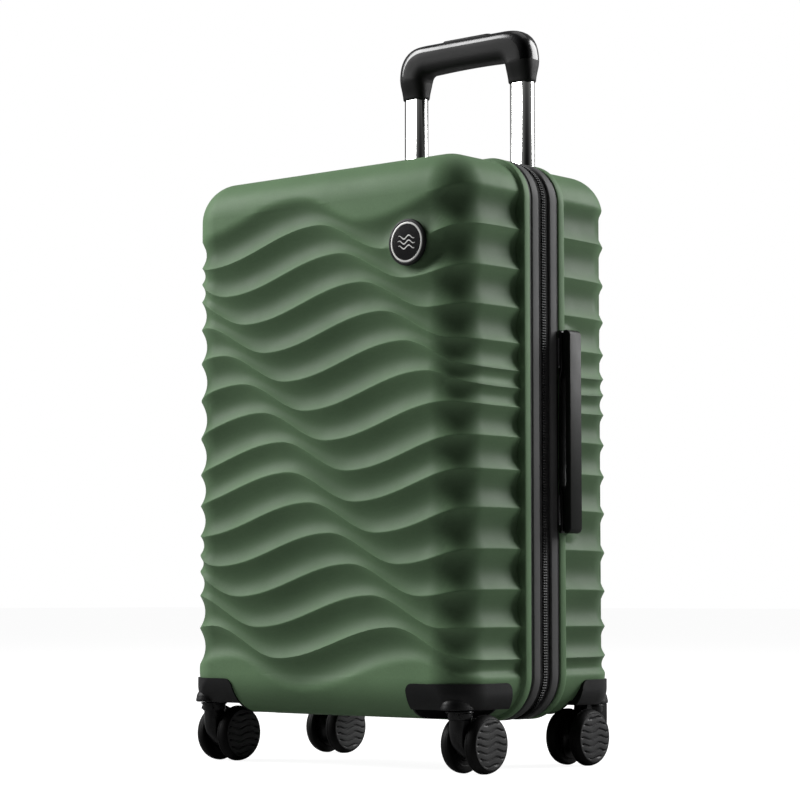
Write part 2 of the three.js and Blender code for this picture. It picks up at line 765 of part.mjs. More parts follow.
addPiece('lock_latch', box(latchLength, latchWidth, latchHeight, latchX, lockY, latchHeightAt), 'chrome');

// The origin is under the middle of the whole object, on the floor
const bounds = new THREE.Box3().setFromObject(suitcase);
const middle = bounds.getCenter(new THREE.Vector3());
suitcase.position.set(-middle.x, -middle.y, -bounds.min.z);

export default suitcase;
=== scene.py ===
import bpy, bmesh, math
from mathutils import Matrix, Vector, noise


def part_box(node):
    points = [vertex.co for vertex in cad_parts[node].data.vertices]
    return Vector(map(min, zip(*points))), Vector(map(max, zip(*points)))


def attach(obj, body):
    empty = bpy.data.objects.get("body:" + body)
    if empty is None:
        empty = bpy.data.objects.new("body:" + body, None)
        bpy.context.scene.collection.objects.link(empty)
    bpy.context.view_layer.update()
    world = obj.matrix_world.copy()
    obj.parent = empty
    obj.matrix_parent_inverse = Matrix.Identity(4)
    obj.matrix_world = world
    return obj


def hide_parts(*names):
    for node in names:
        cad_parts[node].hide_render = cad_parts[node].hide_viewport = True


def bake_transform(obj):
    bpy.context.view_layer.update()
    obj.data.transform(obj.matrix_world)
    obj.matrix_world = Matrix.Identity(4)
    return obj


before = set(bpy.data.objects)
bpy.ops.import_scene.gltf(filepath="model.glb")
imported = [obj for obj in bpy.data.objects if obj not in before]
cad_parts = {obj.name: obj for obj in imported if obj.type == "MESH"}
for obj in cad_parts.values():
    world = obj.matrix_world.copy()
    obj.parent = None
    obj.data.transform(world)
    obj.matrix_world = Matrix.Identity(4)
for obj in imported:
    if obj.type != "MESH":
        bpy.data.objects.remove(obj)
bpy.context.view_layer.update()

# The case's own frame: x from its middle, y from the zip, z from the floor, in millimetres
frontLow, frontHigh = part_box("front_shell")
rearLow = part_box("rear_shell")[0]
middleX = (frontLow[0] + frontHigh[0]) / 2
zipY = (frontHigh[1] + rearLow[1]) / 2


def toFrame(p):
    return Vector((p[0] / 1000 + middleX, p[1] / 1000 + zipY, p[2] / 1000))


def boxOf(node):
    # a node's box in the case's own millimetres
    low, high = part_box(node)
    shift = (middleX, zipY, 0)
    return [(low[i] - shift[i]) * 1000 for i in range(3)], [(high[i] - shift[i]) * 1000 for i in range(3)]


# ---- camera, studio world and light
view = {"lens": 112.05, "place": (1521.8, -1795.2, 151.1), "aim": (-0.4, -0.3, 340.9)}

cameraData = bpy.data.cameras.new("camera")
cameraData.lens = view["lens"]
cameraData.sensor_width = 36
camera = bpy.data.objects.new("camera", cameraData)
camera.location = toFrame(view["place"])
camera.rotation_euler = (toFrame(view["aim"]) - camera.location).to_track_quat("-Z", "Y").to_euler()
bpy.context.scene.collection.objects.link(camera)
bpy.context.scene.camera = camera

world = bpy.data.worlds.new("studio")
bpy.context.scene.world = world
world.use_nodes = True
sky = world.node_tree
darkTurn = math.radians(41)
ambient = {
    "strength": 0.12, "seen": 1.0, "gloss": 0.2, "darkTowards": (math.sin(darkTurn), -math.cos(darkTurn), 0.0),
    "fade": (("From Min", 0.1), ("From Max", 0.8), ("To Min", 1.0), ("To Max", 0.02)),
}
backdrop = sky.nodes["Background"]
facing = sky.nodes.new("ShaderNodeVectorMath")
facing.operation = "DOT_PRODUCT"
facing.inputs[1].default_value = ambient["darkTowards"]
sky.links.new(sky.nodes.new("ShaderNodeTexCoord").outputs["Generated"], facing.inputs[0])
shade = sky.nodes.new("ShaderNodeMapRange")
shade.interpolation_type = "SMOOTHSTEP"
for socket, value in ambient["fade"]:
    shade.inputs[socket].default_value = value
sky.links.new(facing.outputs["Value"], shade.inputs["Value"])
path = sky.nodes.new("ShaderNodeLightPath")
strength = None
for ray, value in (("Is Glossy Ray", ambient["gloss"]), ("Is Camera Ray", ambient["seen"])):
    step = sky.nodes.new("ShaderNodeMix")
    sky.links.new(path.outputs[ray], step.inputs[0])
    step.inputs[2].default_value = ambient["strength"]
    step.inputs[3].default_value = value
    if strength is not None:
        dark = sky.nodes.new("ShaderNodeMath")
        dark.operation = "MULTIPLY"
        sky.links.new(strength, dark.inputs[0])
        sky.links.new(shade.outputs["Result"], dark.inputs[1])
        sky.links.new(dark.outputs[0], step.inputs[2])
    strength = step.outputs[0]
sky.links.new(strength, backdrop.inputs["Strength"])
backdrop.inputs["Color"].default_value = (1, 1, 1, 1)

softboxes = [
    {"name": "keyLeft", "azimuth": -58, "height": 2.2, "far": 2.9, "size": (1.4, 2.2), "power": 134},
    {"name": "sideRight", "azimuth": 149, "height": 1.8, "far": 2.9, "size": (1.4, 2.2), "power": 108},
    {"name": "topSoft", "azimuth": 180, "height": 2.6, "far": 0.4, "size": (1.5, 1.5), "power": 6},
]
for light in softboxes:
    data = bpy.data.lights.new(light["name"], "AREA")
    data.shape = "RECTANGLE"
    data.size, data.size_y = light["size"]
    data.energy = light["power"]
    lamp = bpy.data.objects.new(light["name"], data)
    turn = math.radians(light["azimuth"])
    lamp.location = (light["far"] * math.sin(turn), -light["far"] * math.cos(turn), light["height"])
    aim = Vector((0, 0, 0.32)) - lamp.location
    lamp.rotation_euler = aim.to_track_quat("-Z", "Y").to_euler()
    bpy.context.scene.collection.objects.link(lamp)
bpy.context.scene.view_settings.view_transform = "Standard"
print("camera and lights")


# ---- materials
def linear(*rgb):
    return tuple((c / 255 / 12.92) if c / 255 <= 0.04045 else ((c / 255 + 0.055) / 1.055) ** 2.4 for c in rgb)


def link(tree, a, b):
    tree.links.new(a, b)


def noiseNode(tree, source, scale, detail=3, rough=0.5):
    node = tree.nodes.new("ShaderNodeTexNoise")
    node.inputs["Scale"].default_value = scale
    node.inputs["Detail"].default_value = detail
    node.inputs["Roughness"].default_value = rough
    link(tree, source, node.inputs["Vector"])
    return node.outputs["Fac"]


def rampNode(tree, source, low, high, a, b):
    node = tree.nodes.new("ShaderNodeMapRange")
    node.inputs["From Min"].default_value = low
    node.inputs["From Max"].default_value = high
    node.inputs["To Min"].default_value = a
    node.inputs["To Max"].default_value = b
    link(tree, source, node.inputs["Value"])
    return node.outputs["Result"]


def mixNode(tree, factor, a, b, how="MIX"):
    node = tree.nodes.new("ShaderNodeMix")
    node.data_type = "RGBA"
    node.blend_type = how
    for socket, value in ((node.inputs[0], factor), (node.inputs[6], a), (node.inputs[7], b)):
        if isinstance(value, bpy.types.NodeSocket):
            link(tree, value, socket)
        elif isinstance(value, tuple):
            socket.default_value = (*value, 1) if len(value) == 3 else value
        else:
            socket.default_value = value
    return node.outputs[2]


def mathNode(tree, how, a, b=0.0):
    node = tree.nodes.new("ShaderNodeMath")
    node.operation = how
    for socket, value in zip(node.inputs, (a, b)):
        if isinstance(value, bpy.types.NodeSocket):
            link(tree, value, socket)
        else:
            socket.default_value = value
    return node.outputs[0]


def stretched(tree, source, scale, turn=(0, 0, 0)):
    node = tree.nodes.new("ShaderNodeMapping")
    node.inputs["Scale"].default_value = scale
    node.inputs["Rotation"].default_value = turn
    link(tree, source, node.inputs["Vector"])
    return node.outputs["Vector"]


def waveNode(tree, source, scale, direction):
    node = tree.nodes.new("ShaderNodeTexWave")
    node.bands_direction = direction
    node.wave_profile = "SIN"
    node.inputs["Scale"].default_value = scale
    node.inputs["Distortion"].default_value = 0.0
    node.inputs["Detail"].default_value = 1
    link(tree, source, node.inputs["Vector"])
    return node.outputs["Fac"]


def bumpNode(tree, height, strength, distance, normal=None):
    node = tree.nodes.new("ShaderNodeBump")
    node.inputs["Strength"].default_value = strength
    node.inputs["Distance"].default_value = distance
    link(tree, height, node.inputs["Height"])
    if normal is not None:
        link(tree, normal, node.inputs["Normal"])
    return node.outputs["Normal"]


def newFinish(name, sockets):
    material = bpy.data.materials.new(name)
    material.use_nodes = True
    tree = material.node_tree
    shader = tree.nodes["Principled BSDF"]
    for socket, value in sockets.items():
        shader.inputs[socket].default_value = value
    place = tree.nodes.new("ShaderNodeTexCoord").outputs["Object"]
    return material, tree, shader, place


def moulded(name, light, dark, rough=(0.4, 0.52), grain=1500, bump=0.25, patch=9, depth=0.00012, gloss=None,
            paintedHollowShade=0.0):
    # a moulded surface: slow colour drift, fine specks, a grained skin and worn, shinier patches, and where asked
    # painted shade darkening its hollows
    material, tree, shader, place = newFinish(name, {} if gloss is None else {"Specular IOR Level": gloss})
    drift = rampNode(tree, noiseNode(tree, place, patch, 4, 0.55), 0.35, 0.65, 0, 1)
    colour = mixNode(tree, drift, dark, light)
    specks = rampNode(tree, noiseNode(tree, place, grain * 0.6, 2), 0.3, 0.7, 0.93, 1.05)
    greys = tree.nodes.new("ShaderNodeCombineColor")
    for i in range(3):
        link(tree, specks, greys.inputs[i])
    colour = mixNode(tree, 1.0, colour, greys.outputs[0], "MULTIPLY")
    # painted shade: where the hollow attribute is high the colour is pulled toward a deep tone, darkening the scoops
    if paintedHollowShade:
        hollow = tree.nodes.new("ShaderNodeAttribute")
        hollow.attribute_name = "hollow"
        shade = rampNode(tree, hollow.outputs["Fac"], 0, 1, 0, paintedHollowShade)
        colour = mixNode(tree, shade, colour, tuple(c * 0.35 for c in dark))
    link(tree, colour, shader.inputs["Base Color"])
    scuffs = noiseNode(tree, stretched(tree, place, (60, 60, 9)), 6, 5, 0.7)
    wear = mathNode(tree, "ADD", noiseNode(tree, place, 26, 4, 0.6), mathNode(tree, "MULTIPLY", scuffs, 0.35))
    link(tree, rampNode(tree, wear, 0.45, 0.9, rough[0], rough[1]), shader.inputs["Roughness"])
    skin = tree.nodes.new("ShaderNodeTexVoronoi")
    skin.inputs["Scale"].default_value = grain
    link(tree, place, skin.inputs["Vector"])
    fine = bumpNode(tree, skin.outputs["Distance"], bump, depth)
    soft = bumpNode(tree, noiseNode(tree, place, 55, 3), 0.08, 0.0006, fine)
    link(tree, soft, shader.inputs["Normal"])
    return material


def polished(name, light, dark, rough=(0.08, 0.2), streak=(900, 900, 30)):
    # drawn and polished metal: hairlines along the part, faint smudges
    material, tree, shader, place = newFinish(name, {"Metallic": 1.0, "Anisotropic": 0.3})
    lines = noiseNode(tree, stretched(tree, place, streak), 1.0, 3, 0.6)
    smudge = noiseNode(tree, place, 38, 4, 0.6)
    link(tree, mixNode(tree, rampNode(tree, lines, 0.3, 0.7, 0, 1), dark, light), shader.inputs["Base Color"])
    both = mathNode(tree, "ADD", mathNode(tree, "MULTIPLY", lines, 0.5), mathNode(tree, "MULTIPLY", smudge, 0.5))
    link(tree, rampNode(tree, both, 0.35, 0.65, rough[0], rough[1]), shader.inputs["Roughness"])
    link(tree, bumpNode(tree, lines, 0.06, 0.00005), shader.inputs["Normal"])
    return material


def woven(name, light, dark, pitch=0.0007, rough=0.85, bump=0.6, sheen=0.3, slant=0.0):
    # cloth: two crossed sets of yarns, painted shade darkening the gaps between yarns and lifting the colour on top of
    # each yarn, a little fuzz
    material, tree, shader, place = newFinish(name, {"Roughness": rough, "Sheen Weight": sheen, "Sheen Roughness": 0.4})
    turned = stretched(tree, place, (1, 1, 1), (0, slant, 0))
    scale = 0.314 / pitch
    warp = waveNode(tree, turned, scale, "X")
    weft = waveNode(tree, turned, scale, "Z")
    across = mathNode(tree, "MULTIPLY", waveNode(tree, turned, scale, "Y"), 0.6)
    depthYarn = mathNode(tree, "ADD", warp, across)
    yarns = mathNode(tree, "MULTIPLY", mathNode(tree, "ADD", depthYarn, weft), 0.45)
    slub = noiseNode(tree, stretched(tree, place, (1, 1, 5)), 160, 3, 0.6)
    height = mathNode(tree, "ADD", yarns, mathNode(tree, "MULTIPLY", slub, 0.4))
    drift = rampNode(tree, noiseNode(tree, place, 11, 3), 0.35, 0.65, -0.1, 0.2)
    # painted shade: the colour goes dark where the yarn height is low and light on the yarn tops
    shade = mathNode(tree, "ADD", rampNode(tree, height, 0.2, 1.1, 0, 0.8), drift)
    link(tree, mixNode(tree, shade, dark, light), shader.inputs["Base Color"])
    wrinkle = bumpNode(tree, noiseNode(tree, place, 20, 3, 0.6), 0.25, 0.004)
    link(tree, bumpNode(tree, height, bump, pitch * 0.35, wrinkle), shader.inputs["Normal"])
    return material


# the green shell's colour carries painted shade in the scoops between its ridges
green = moulded("shellGreen", linear(112, 141, 106), linear(99, 126, 94), (0.44, 0.54), 1700, 0.10, 7, 0.00008,
                gloss=0.1, paintedHollowShade=0.6)
guardBlack = moulded("guardBlack", linear(25, 25, 26), linear(17, 17, 18), (0.42, 0.55), 1300, 0.5, gloss=0.25)
handleBlack = moulded("handleBlack", linear(24, 26, 24), linear(18, 20, 18), (0.38, 0.5), 1900, 0.3, gloss=0.16)
softTouch = moulded("softTouchGrey", linear(36, 36, 36), linear(28, 28, 28), (0.42, 0.5), 2200, 0.3, gloss=0.12)
glossBlack = moulded("glossBlack", linear(14, 14, 15), linear(8, 8, 9), (0.16, 0.26), 2600, 0.04)
pipingGrey = moulded("pipingGrey", linear(90, 90, 90), linear(78, 78, 78), (0.5, 0.62), 1500, 0.35, gloss=0.2)
capGrey = moulded("hubCapGrey", linear(60, 60, 60), linear(50, 50, 51), (0.42, 0.55), 1700, 0.35, gloss=0.3)
tread = moulded("wheelTread", linear(9, 9, 9), linear(5, 5, 5), (0.5, 0.68), 900, 0.5, 30, gloss=0.15)
forkBlack = moulded("forkBlack", linear(16, 16, 17), linear(10, 10, 11), (0.24, 0.34), 2100, 0.12, gloss=0.3)
badgeBlack = moulded("badgeBlack", linear(12, 12, 13), linear(7, 7, 8), (0.12, 0.2), 2600, 0.03)
toothBlack = moulded("coilBlack", linear(9, 9, 9), linear(5, 5, 5), (0.3, 0.42), 2500, 0.1, gloss=0.12)
whiteInk = moulded("enamelWhite", linear(240, 240, 236), linear(228, 228, 224), (0.25, 0.35), 2600, 0.05)
chrome = polished("chromeTube", (0.90, 0.91, 0.88), (0.84, 0.85, 0.83), (0.05, 0.11))
brightTrim = polished("chromeTrim", (0.80, 0.81, 0.82), (0.72, 0.73, 0.74), (0.1, 0.18), (400, 400, 400))
satinTube = polished("satinTube", (0.62, 0.63, 0.64), (0.52, 0.53, 0.54), (0.24, 0.36))
gunmetal = polished("gunmetal", (0.30, 0.30, 0.31), (0.22, 0.22, 0.23), (0.2, 0.32), (500, 500, 500))
steel = polished("axleSteel", (0.58, 0.58, 0.59), (0.48, 0.48, 0.49), (0.22, 0.36), (40, 700, 700))
tapeCloth = woven("zipTapeCloth", linear(8, 8, 8), linear(3, 3, 3), 0.0008, 0.9, 0.5, 0.0)
liningCloth = woven("liningCloth", linear(138, 141, 144), linear(96, 99, 102), 0.0011, 0.6, 0.5, 0.3)
dividerCloth = woven("dividerCloth", linear(112, 115, 118), linear(74, 77, 80), 0.0011, 0.6, 0.5, 0.3)
meshCloth = woven("pocketMesh", linear(70, 72, 74), linear(20, 20, 21), 0.0024, 0.8, 1.0, 0.1, 0.785)
webbing = woven("webbing", linear(38, 39, 40), linear(12, 12, 13), 0.0016, 0.8, 0.9, 0.25, 0.6)
stitchThread = moulded("stitchThread", linear(120, 122, 122), linear(96, 98, 98), (0.6, 0.7), 2600, 0.4)
darkThread = moulded("darkThread", linear(40, 41, 42), linear(24, 24, 25), (0.6, 0.7), 2600, 0.4)
print("materials")


# ---- making meshes
mergeWithin = 1e-6


def loft(rings, looped=False):
    # skins rows of points; every ring has the same count
    count = len(rings[0])
    points = [p for ring in rings for p in ring]
    faces = []
    for r in range(len(rings) if looped else len(rings) - 1):
        a, b = r * count, ((r + 1) % len(rings)) * count
        for i in range(count):
            j = (i + 1) % count
            faces.append((a + i, a + j, b + j, b + i))
    if not looped:
        faces.append(tuple(range(count - 1, -1, -1)))
        faces.append(tuple(range(len(points) - count, len(points))))
    return points, faces


def joined(parts):
    points, faces, marks = [], [], []
    for part in parts:
        base = len(points)
        points.extend(part[0])
        faces.extend(tuple(base + i for i in face) for face in part[1])
        mark = part[2] if len(part) > 2 else 0
        marks.extend(mark if isinstance(mark, list) else [mark] * len(part[1]))
    return points, faces, marks


def moved(part, change):
    return ([change(p) for p in part[0]], *part[1:])


def linked(name, mesh):
    obj = bpy.data.objects.new(name, mesh)
    bpy.context.scene.collection.objects.link(obj)
    return obj


def looseObject(name, parts):
    points, faces, marks = joined(parts)
    mesh = bpy.data.meshes.new(name)
    mesh.from_pydata([toFrame(p) for p in points], [], faces)
    mesh.polygons.foreach_set("material_index", marks)
    work = bmesh.new()
    work.from_mesh(mesh)
    bmesh.ops.remove_doubles(work, verts=work.verts, dist=mergeWithin)
    bmesh.ops.dissolve_degenerate(work, edges=work.edges, dist=mergeWithin)
    bmesh.ops.recalc_face_normals(work, faces=work.faces)
    work.to_mesh(mesh)
    work.free()
    return linked(name, mesh)


def settled(obj):
    # the object's evaluated mesh takes the place of its own, and its modifiers go
    bpy.context.view_layer.update()
    result = bpy.data.meshes.new_from_object(obj.evaluated_get(bpy.context.evaluated_depsgraph_get()))
    obj.modifiers.clear()
    obj.data = result
    return obj


def cutWith(obj, other, how="DIFFERENCE"):
    tool = obj.modifiers.new("cut", "BOOLEAN")
    tool.operation = how
    tool.solver = "MANIFOLD"
    tool.object = other
    settled(obj)
    bpy.data.objects.remove(other)
    return obj


def bevelled(obj, width, segments=3, angle=30):
    tool = obj.modifiers.new("edges", "BEVEL")
    tool.width = width / 1000
    tool.segments = segments
    tool.limit_method = "ANGLE"
    tool.angle_limit = math.radians(angle)
    tool.use_clamp_overlap = True
    tool.harden_normals = False
    return settled(obj)


def finished(obj, materials, body, swaps=(), angle=38):
    # smooths, gives the finishes, and hangs the piece on its body
    mesh = obj.data
    marks = [face.material_index for face in mesh.polygons]
    mesh.materials.clear()
    for material in (materials if isinstance(materials, (list, tuple)) else [materials]):
        mesh.materials.append(material)
    mesh.polygons.foreach_set("material_index", marks)
    mesh.shade_smooth()
    mesh.set_sharp_from_angle(angle=math.radians(angle))
    if body:
        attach(obj, body)
    if swaps:
        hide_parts(*swaps)
    return obj


def copyOf(node, name):
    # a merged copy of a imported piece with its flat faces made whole, ready for bevels
    obj = linked(name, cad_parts[node].data.copy())
    work = bmesh.new()
    work.from_mesh(obj.data)
    bmesh.ops.remove_doubles(work, verts=work.verts, dist=2 * mergeWithin)
    bmesh.ops.dissolve_limit(work, angle_limit=math.radians(1.0), verts=work.verts, edges=work.edges)
    work.to_mesh(obj.data)
    work.free()
    return obj


def refined(node, name, material, body, width, segments, angle):
    obj = bevelled(copyOf(node, name), width, segments, angle)
    return finished(obj, material, body, (node,))


def turnedPoint(radius, along, turn, centre, axis):
    u, v = radius * math.cos(turn), radius * math.sin(turn)
    local = {"x": (along, u, v), "y": (u, along, v), "z": (u, v, along)}[axis]
    return tuple(centre[k] + local[k] for k in range(3))


def lathe(profile, centre, axis, steps):
    # profile of (radius, along) turned about an axis through the centre; ends on the axis are closed
    turns = [2 * math.pi * i / steps for i in range(steps)]
    return loft([[turnedPoint(max(r, 0.001), along, t, centre, axis) for t in turns] for r, along in profile])


def latheRing(profile, centre, axis, steps):
    # a closed profile turned about an axis that it doesn't touch
    turns = [2 * math.pi * i / steps for i in range(steps)]
    return loft([[turnedPoint(r, along, t, centre, axis) for r, along in profile] for t in turns], looped=True)


def rounded(width, height, radius, steps=8):
    # a rounded rectangle about the origin
    points = []
    for quarter, (sx, sy) in enumerate(((1, 1), (-1, 1), (-1, -1), (1, -1))):
        for step in range(steps + 1):
            a = (quarter + step / steps) * math.pi / 2
            x, y = sx * (width / 2 - radius), sy * (height / 2 - radius)
            points.append((x + radius * math.cos(a), y + radius * math.sin(a)))
    return points


def bar(outline, levels):
    # a plain prism standing on an outline
    return loft([[(a, b, z) for a, b in outline] for z in levels])


def pillow(outline, low, high, edge, place, steps=4):
    # a slab with rounded rims from an outline; place(a, b, h) puts it in the case's frame
    count = len(outline)
    normals = []
    for i in range(count):
        (ax, ay), (bx, by) = outline[i - 1], outline[(i + 1) % count]
        length = math.hypot(bx - ax, by - ay) or 1
        normals.append(((by - ay) / length, (ax - bx) / length))
    rings = []
    for side, level, sign in ((0, low, 1), (1, high, -1)):
        order = range(steps + 1) if side == 0 else range(steps, -1, -1)
        for step in order:
            turn = step / steps * math.pi / 2
            pull = edge * (1 - math.sin(turn))
            h = level + sign * edge * (1 - math.cos(turn))
            rings.append([place(a - n[0] * pull, b - n[1] * pull, h) for (a, b), n in zip(outline, normals)])
    return loft(rings)


# ---- the case's outline, shared by shells, piping, zip and linings
case = {
    "halfWidth": 168.0, "halfDepth": 119.0, "top": 550.0, "bottom": 47.0, "corner": 38.0, "round": 36.0,
    "swivelX": 149.5, "swivelY": 97.0, "tubeX": 67.0, "tubeY": 104.0,
    "flangeStand": 3.5, "flangeNear": 21.5, "flangeFar": 30.0,
}


def outlineStations(cornerSteps=20, pitch=8.0):
    # anticlockwise from the right side: base point at full rounding inset, and its outward direction
    inner = case["corner"] - case["round"]
    reach = case["halfWidth"] - case["corner"]
    high, low = case["top"] - case["corner"], case["bottom"] + case["corner"]
    corners = [(reach, high, 0), (-reach, high, 90), (-reach, low, 180), (reach, low, 270)]
    stations = []
    for i, (cx, cz, start) in enumerate(corners):
        for step in range(cornerSteps + 1):
            a = math.radians(start + 90 * step / cornerSteps)
            stations.append((cx + inner * math.cos(a), cz + inner * math.sin(a), math.cos(a), math.sin(a)))
        nx, nz, _ = corners[(i + 1) % 4]
        a = math.radians(start + 90)
        ax, az = cx + inner * math.cos(a), cz + inner * math.sin(a)
        bx, bz = nx + inner * math.cos(a), nz + inner * math.sin(a)
        runs = max(int(math.hypot(bx - ax, bz - az) / pitch), 2)
        for step in range(1, runs):
            stations.append((ax + (bx - ax) * step / runs, az + (bz - az) * step / runs, math.cos(a), math.sin(a)))
    return stations


def outlinePoint(station, inset, y):
    x, z, nx, nz = station
    out = case["round"] - inset
    return (x + nx * out, y, z + nz * out)


def outlineBand(profile, end, stations):
    # a closed section of (inset, depth) carried round the whole outline
    return loft([[outlinePoint(s, inset, end * depth) for inset, depth in profile] for s in stations], looped=True)


def roundSection(insetA, insetB, depthA, depthB, radius, steps=4):
    # a rounded section between two insets and two depths
    cx, cy = (insetA + insetB) / 2, (depthA + depthB) / 2
    return [(cx + a, cy + b) for a, b in rounded(abs(insetB - insetA), abs(depthB - depthA), radius, steps)]


# ---- wave relief on the shells
relief = {
    "ridges": 16, "topCrest": 522.6, "spacing": 28.2, "crestDrift": 25.2, "firstCrest": -25.2, "lowerShift": -16.0,
    "wave": 221.0, "fall": 83.0, "swing": 14.5, "depth": 4.5, "level": 150.0, "settle": 15.0, "crestSoft": 0.05,
}


def settleRun(s):
    if abs(s) <= relief["level"]:
        return s
    past = abs(s) - relief["level"]
    return math.copysign(relief["level"] + relief["settle"] * (1 - math.exp(-past / relief["settle"])), s)


def ridgeHeight(k, s):
    start = relief["firstCrest"] + relief["crestDrift"] * (k - 1) + (relief["lowerShift"] if k >= 10 else 0)
    phase = (settleRun(s) - start) % relief["wave"]
    if phase < relief["fall"]:
        w = math.cos(math.pi * phase / relief["fall"])
    else:
        w = -math.cos(math.pi * (phase - relief["fall"]) / (relief["wave"] - relief["fall"]))
    return relief["topCrest"] - relief["spacing"] * (k - 1) - relief["swing"] * (1 - w)


def smoothStep(a, b, x):
    t = min(max((x - a) / (b - a), 0), 1)
    return t * t * (3 - 2 * t)


def scoop(s, z):
    # how deep the hollow between two ridges is, and how far between them the point lies
    first = max(int((relief["topCrest"] - z) / relief["spacing"]) - 2, 0)
    upper = ridgeHeight(first + 1, s)
    if z >= upper and first == 0:
        return 0.0
    for k in range(first + 1, relief["ridges"]):
        lower = ridgeHeight(k + 1, s)
        if upper > z >= lower:
            gap = upper - lower
            t = (upper - z) / gap
            curve = 4 * t * (1 - t)
            soft = relief["crestSoft"]
            curve = (math.sqrt(curve * curve + soft * soft) - soft) / (math.sqrt(1 + soft * soft) - soft)
            return min(max(relief["depth"] * (gap / 28) ** 0.7, 2.5), 5.5) * curve
        upper = lower
    return 0.0


# ---- shells
shellValues = {
    "arcSteps": 16, "columns": 44, "roundRings": 16, "wallRings": 5, "topRows": 12,
    "innerInset": 6.8, "innerFace": {"front": 112.4, "rear": 115.4},
}
rowSteps = (0.02, 0.06, 0.12, 0.21, 0.32, 0.44, 0.56, 0.68, 0.79, 0.88, 0.94, 0.98, 1.0)


def faceRows(plain):
    # rows from the bottom up in the straight part: each gives z for a run s
    high, low = case["top"] - case["corner"], case["bottom"] + case["corner"]
    if plain:
        return [(lambda s, t=i / plain: low + (high - low) * t) for i in range(plain + 1)]
    rows = []
    count = shellValues["topRows"]
    for i in range(count):
        rows.append(lambda s, t=i / count: low + (ridgeHeight(relief["ridges"] - 1, s) - low) * t)
    rows.append(lambda s: ridgeHeight(relief["ridges"] - 1, s))
    for k in range(relief["ridges"] - 2, 1, -1):
        for t in rowSteps:
            rows.append(lambda s, k=k, t=t: ridgeHeight(k + 1, s) + (ridgeHeight(k, s) - ridgeHeight(k + 1, s)) * t)
    for i in range(1, count + 1):
        rows.append(lambda s, t=i / count: ridgeHeight(2, s) + (high - ridgeHeight(2, s)) * t)
    return rows


def casePan(end, faceDepth, outer, inner, press, plain=0, arcSteps=None, columns=None, inset=0.0, roundDeep=None):
    # a closed pan: a gridded face, rings round its edge and along its wall, a rim, and a plain back skin
    arcSteps = arcSteps or shellValues["arcSteps"]
    columns = columns or shellValues["columns"]
    radius = case["corner"] - case["round"]
    reach = case["halfWidth"] - case["corner"]
    high, low = case["top"] - case["corner"], case["bottom"] + case["corner"]
    rows = faceRows(plain)
    roundTo = case["round"] - inset
    deep = roundDeep or roundTo
    blocks = [radius * i / arcSteps for i in range(1, arcSteps + 1)]

    def cornerMap(u, v):
        r = max(u, v)
        if u >= v:
            a = (v / u) * math.pi / 4
        else:
            a = math.pi / 2 - (u / v) * math.pi / 4
        return r * math.cos(a), r * math.sin(a)

    across = [-reach - b for b in reversed(blocks)] + [-reach + 2 * reach * i / columns for i in range(columns + 1)]
    across += [reach + b for b in blocks]
    upward = [("low", b) for b in reversed(blocks)] + [("row", r) for r in rows] + [("high", b) for b in blocks]
    points, index = [], {}
    for j, (kind, value) in enumerate(upward):
        for i, x in enumerate(across):
            u = abs(x) - reach
            if kind == "row":
                px, pz = x, value(x)
            elif u > 1e-9:
                a, b = cornerMap(u, value)
                px = math.copysign(reach + a, x)
                pz = high + b if kind == "high" else low - b
            else:
                px, pz = x, high + value if kind == "high" else low - value
            index[i, j] = len(points)
            px, depth, pz = press(px, px, faceDepth, pz, (0, 1, 0))
            points.append((px, end * depth, pz))
    last, top = len(across) - 1, len(upward) - 1
    faces = []
    for j in range(top):
        for i in range(last):
            faces.append((index[i, j], index[i + 1, j], index[i + 1, j + 1], index[i, j + 1]))
    border = [(i, 0) for i in range(last)] + [(last, j) for j in range(top)]
    border += [(i, top) for i in range(last, 0, -1)] + [(0, j) for j in range(top, 0, -1)]
    stations = []
    for i, j in border:
        kind, value = upward[j]
        x = across[i]
        u = abs(x) - reach
        if kind == "row":
            stations.append((math.copysign(reach + radius, x), value(x), math.copysign(1, x), 0.0, value))
        elif u > 1e-9:
            a, b = cornerMap(u, value)
            b = b if kind == "high" else -b
            base = high if kind == "high" else low
            scale = math.hypot(a, b)
            nx, nz = math.copysign(a, x) / scale, b / scale
            stations.append((math.copysign(reach, x) + nx * radius, base + nz * radius, nx, nz, None))
        else:
            sign = 1 if kind == "high" else -1
            stations.append((x, (high if sign > 0 else low) + sign * radius, 0.0, sign, None))

    def ring(insetHere, depth, turn, run, pressed):
        out = case["round"] - insetHere
        row = []
        for x, z, nx, nz, rowZ in stations:
            s = x + nx * run
            px, pz = x + nx * out, z + nz * out
            if rowZ is not None and pressed:
                pz = rowZ(s)
            if pressed:
                px, d, pz = press(s, px, depth, pz, (nx * math.sin(turn), math.cos(turn), nz * math.sin(turn)))
            else:
                d = depth
            row.append(len(points))
            points.append((px, end * d, pz))
        return row

    previous = [index[i, j] for i, j in border]
    turns = [(i / shellValues["roundRings"]) * math.pi / 2 for i in range(1, shellValues["roundRings"] + 1)]
    rings = [(case["round"] - roundTo * math.sin(t), faceDepth - deep * (1 - math.cos(t)), t, case["round"] * t, True) for t in turns]
    wallStart = faceDepth - deep
    edge = case["round"] * math.pi / 2
    for insetHere, depth, pressed in outer:
        rings.append((insetHere, depth, math.pi / 2, edge + max(wallStart - depth, 0), pressed))
    for insetHere, depth in inner:
        rings.append((insetHere, depth, 0, 0, False))
    for values in rings:
        row = ring(*values)
        count = len(row)
        for i in range(count):
            j = (i + 1) % count
            faces.append((previous[i], previous[j], row[j], row[i]))
        previous = row
    faces.append(tuple(previous))
    return points, faces


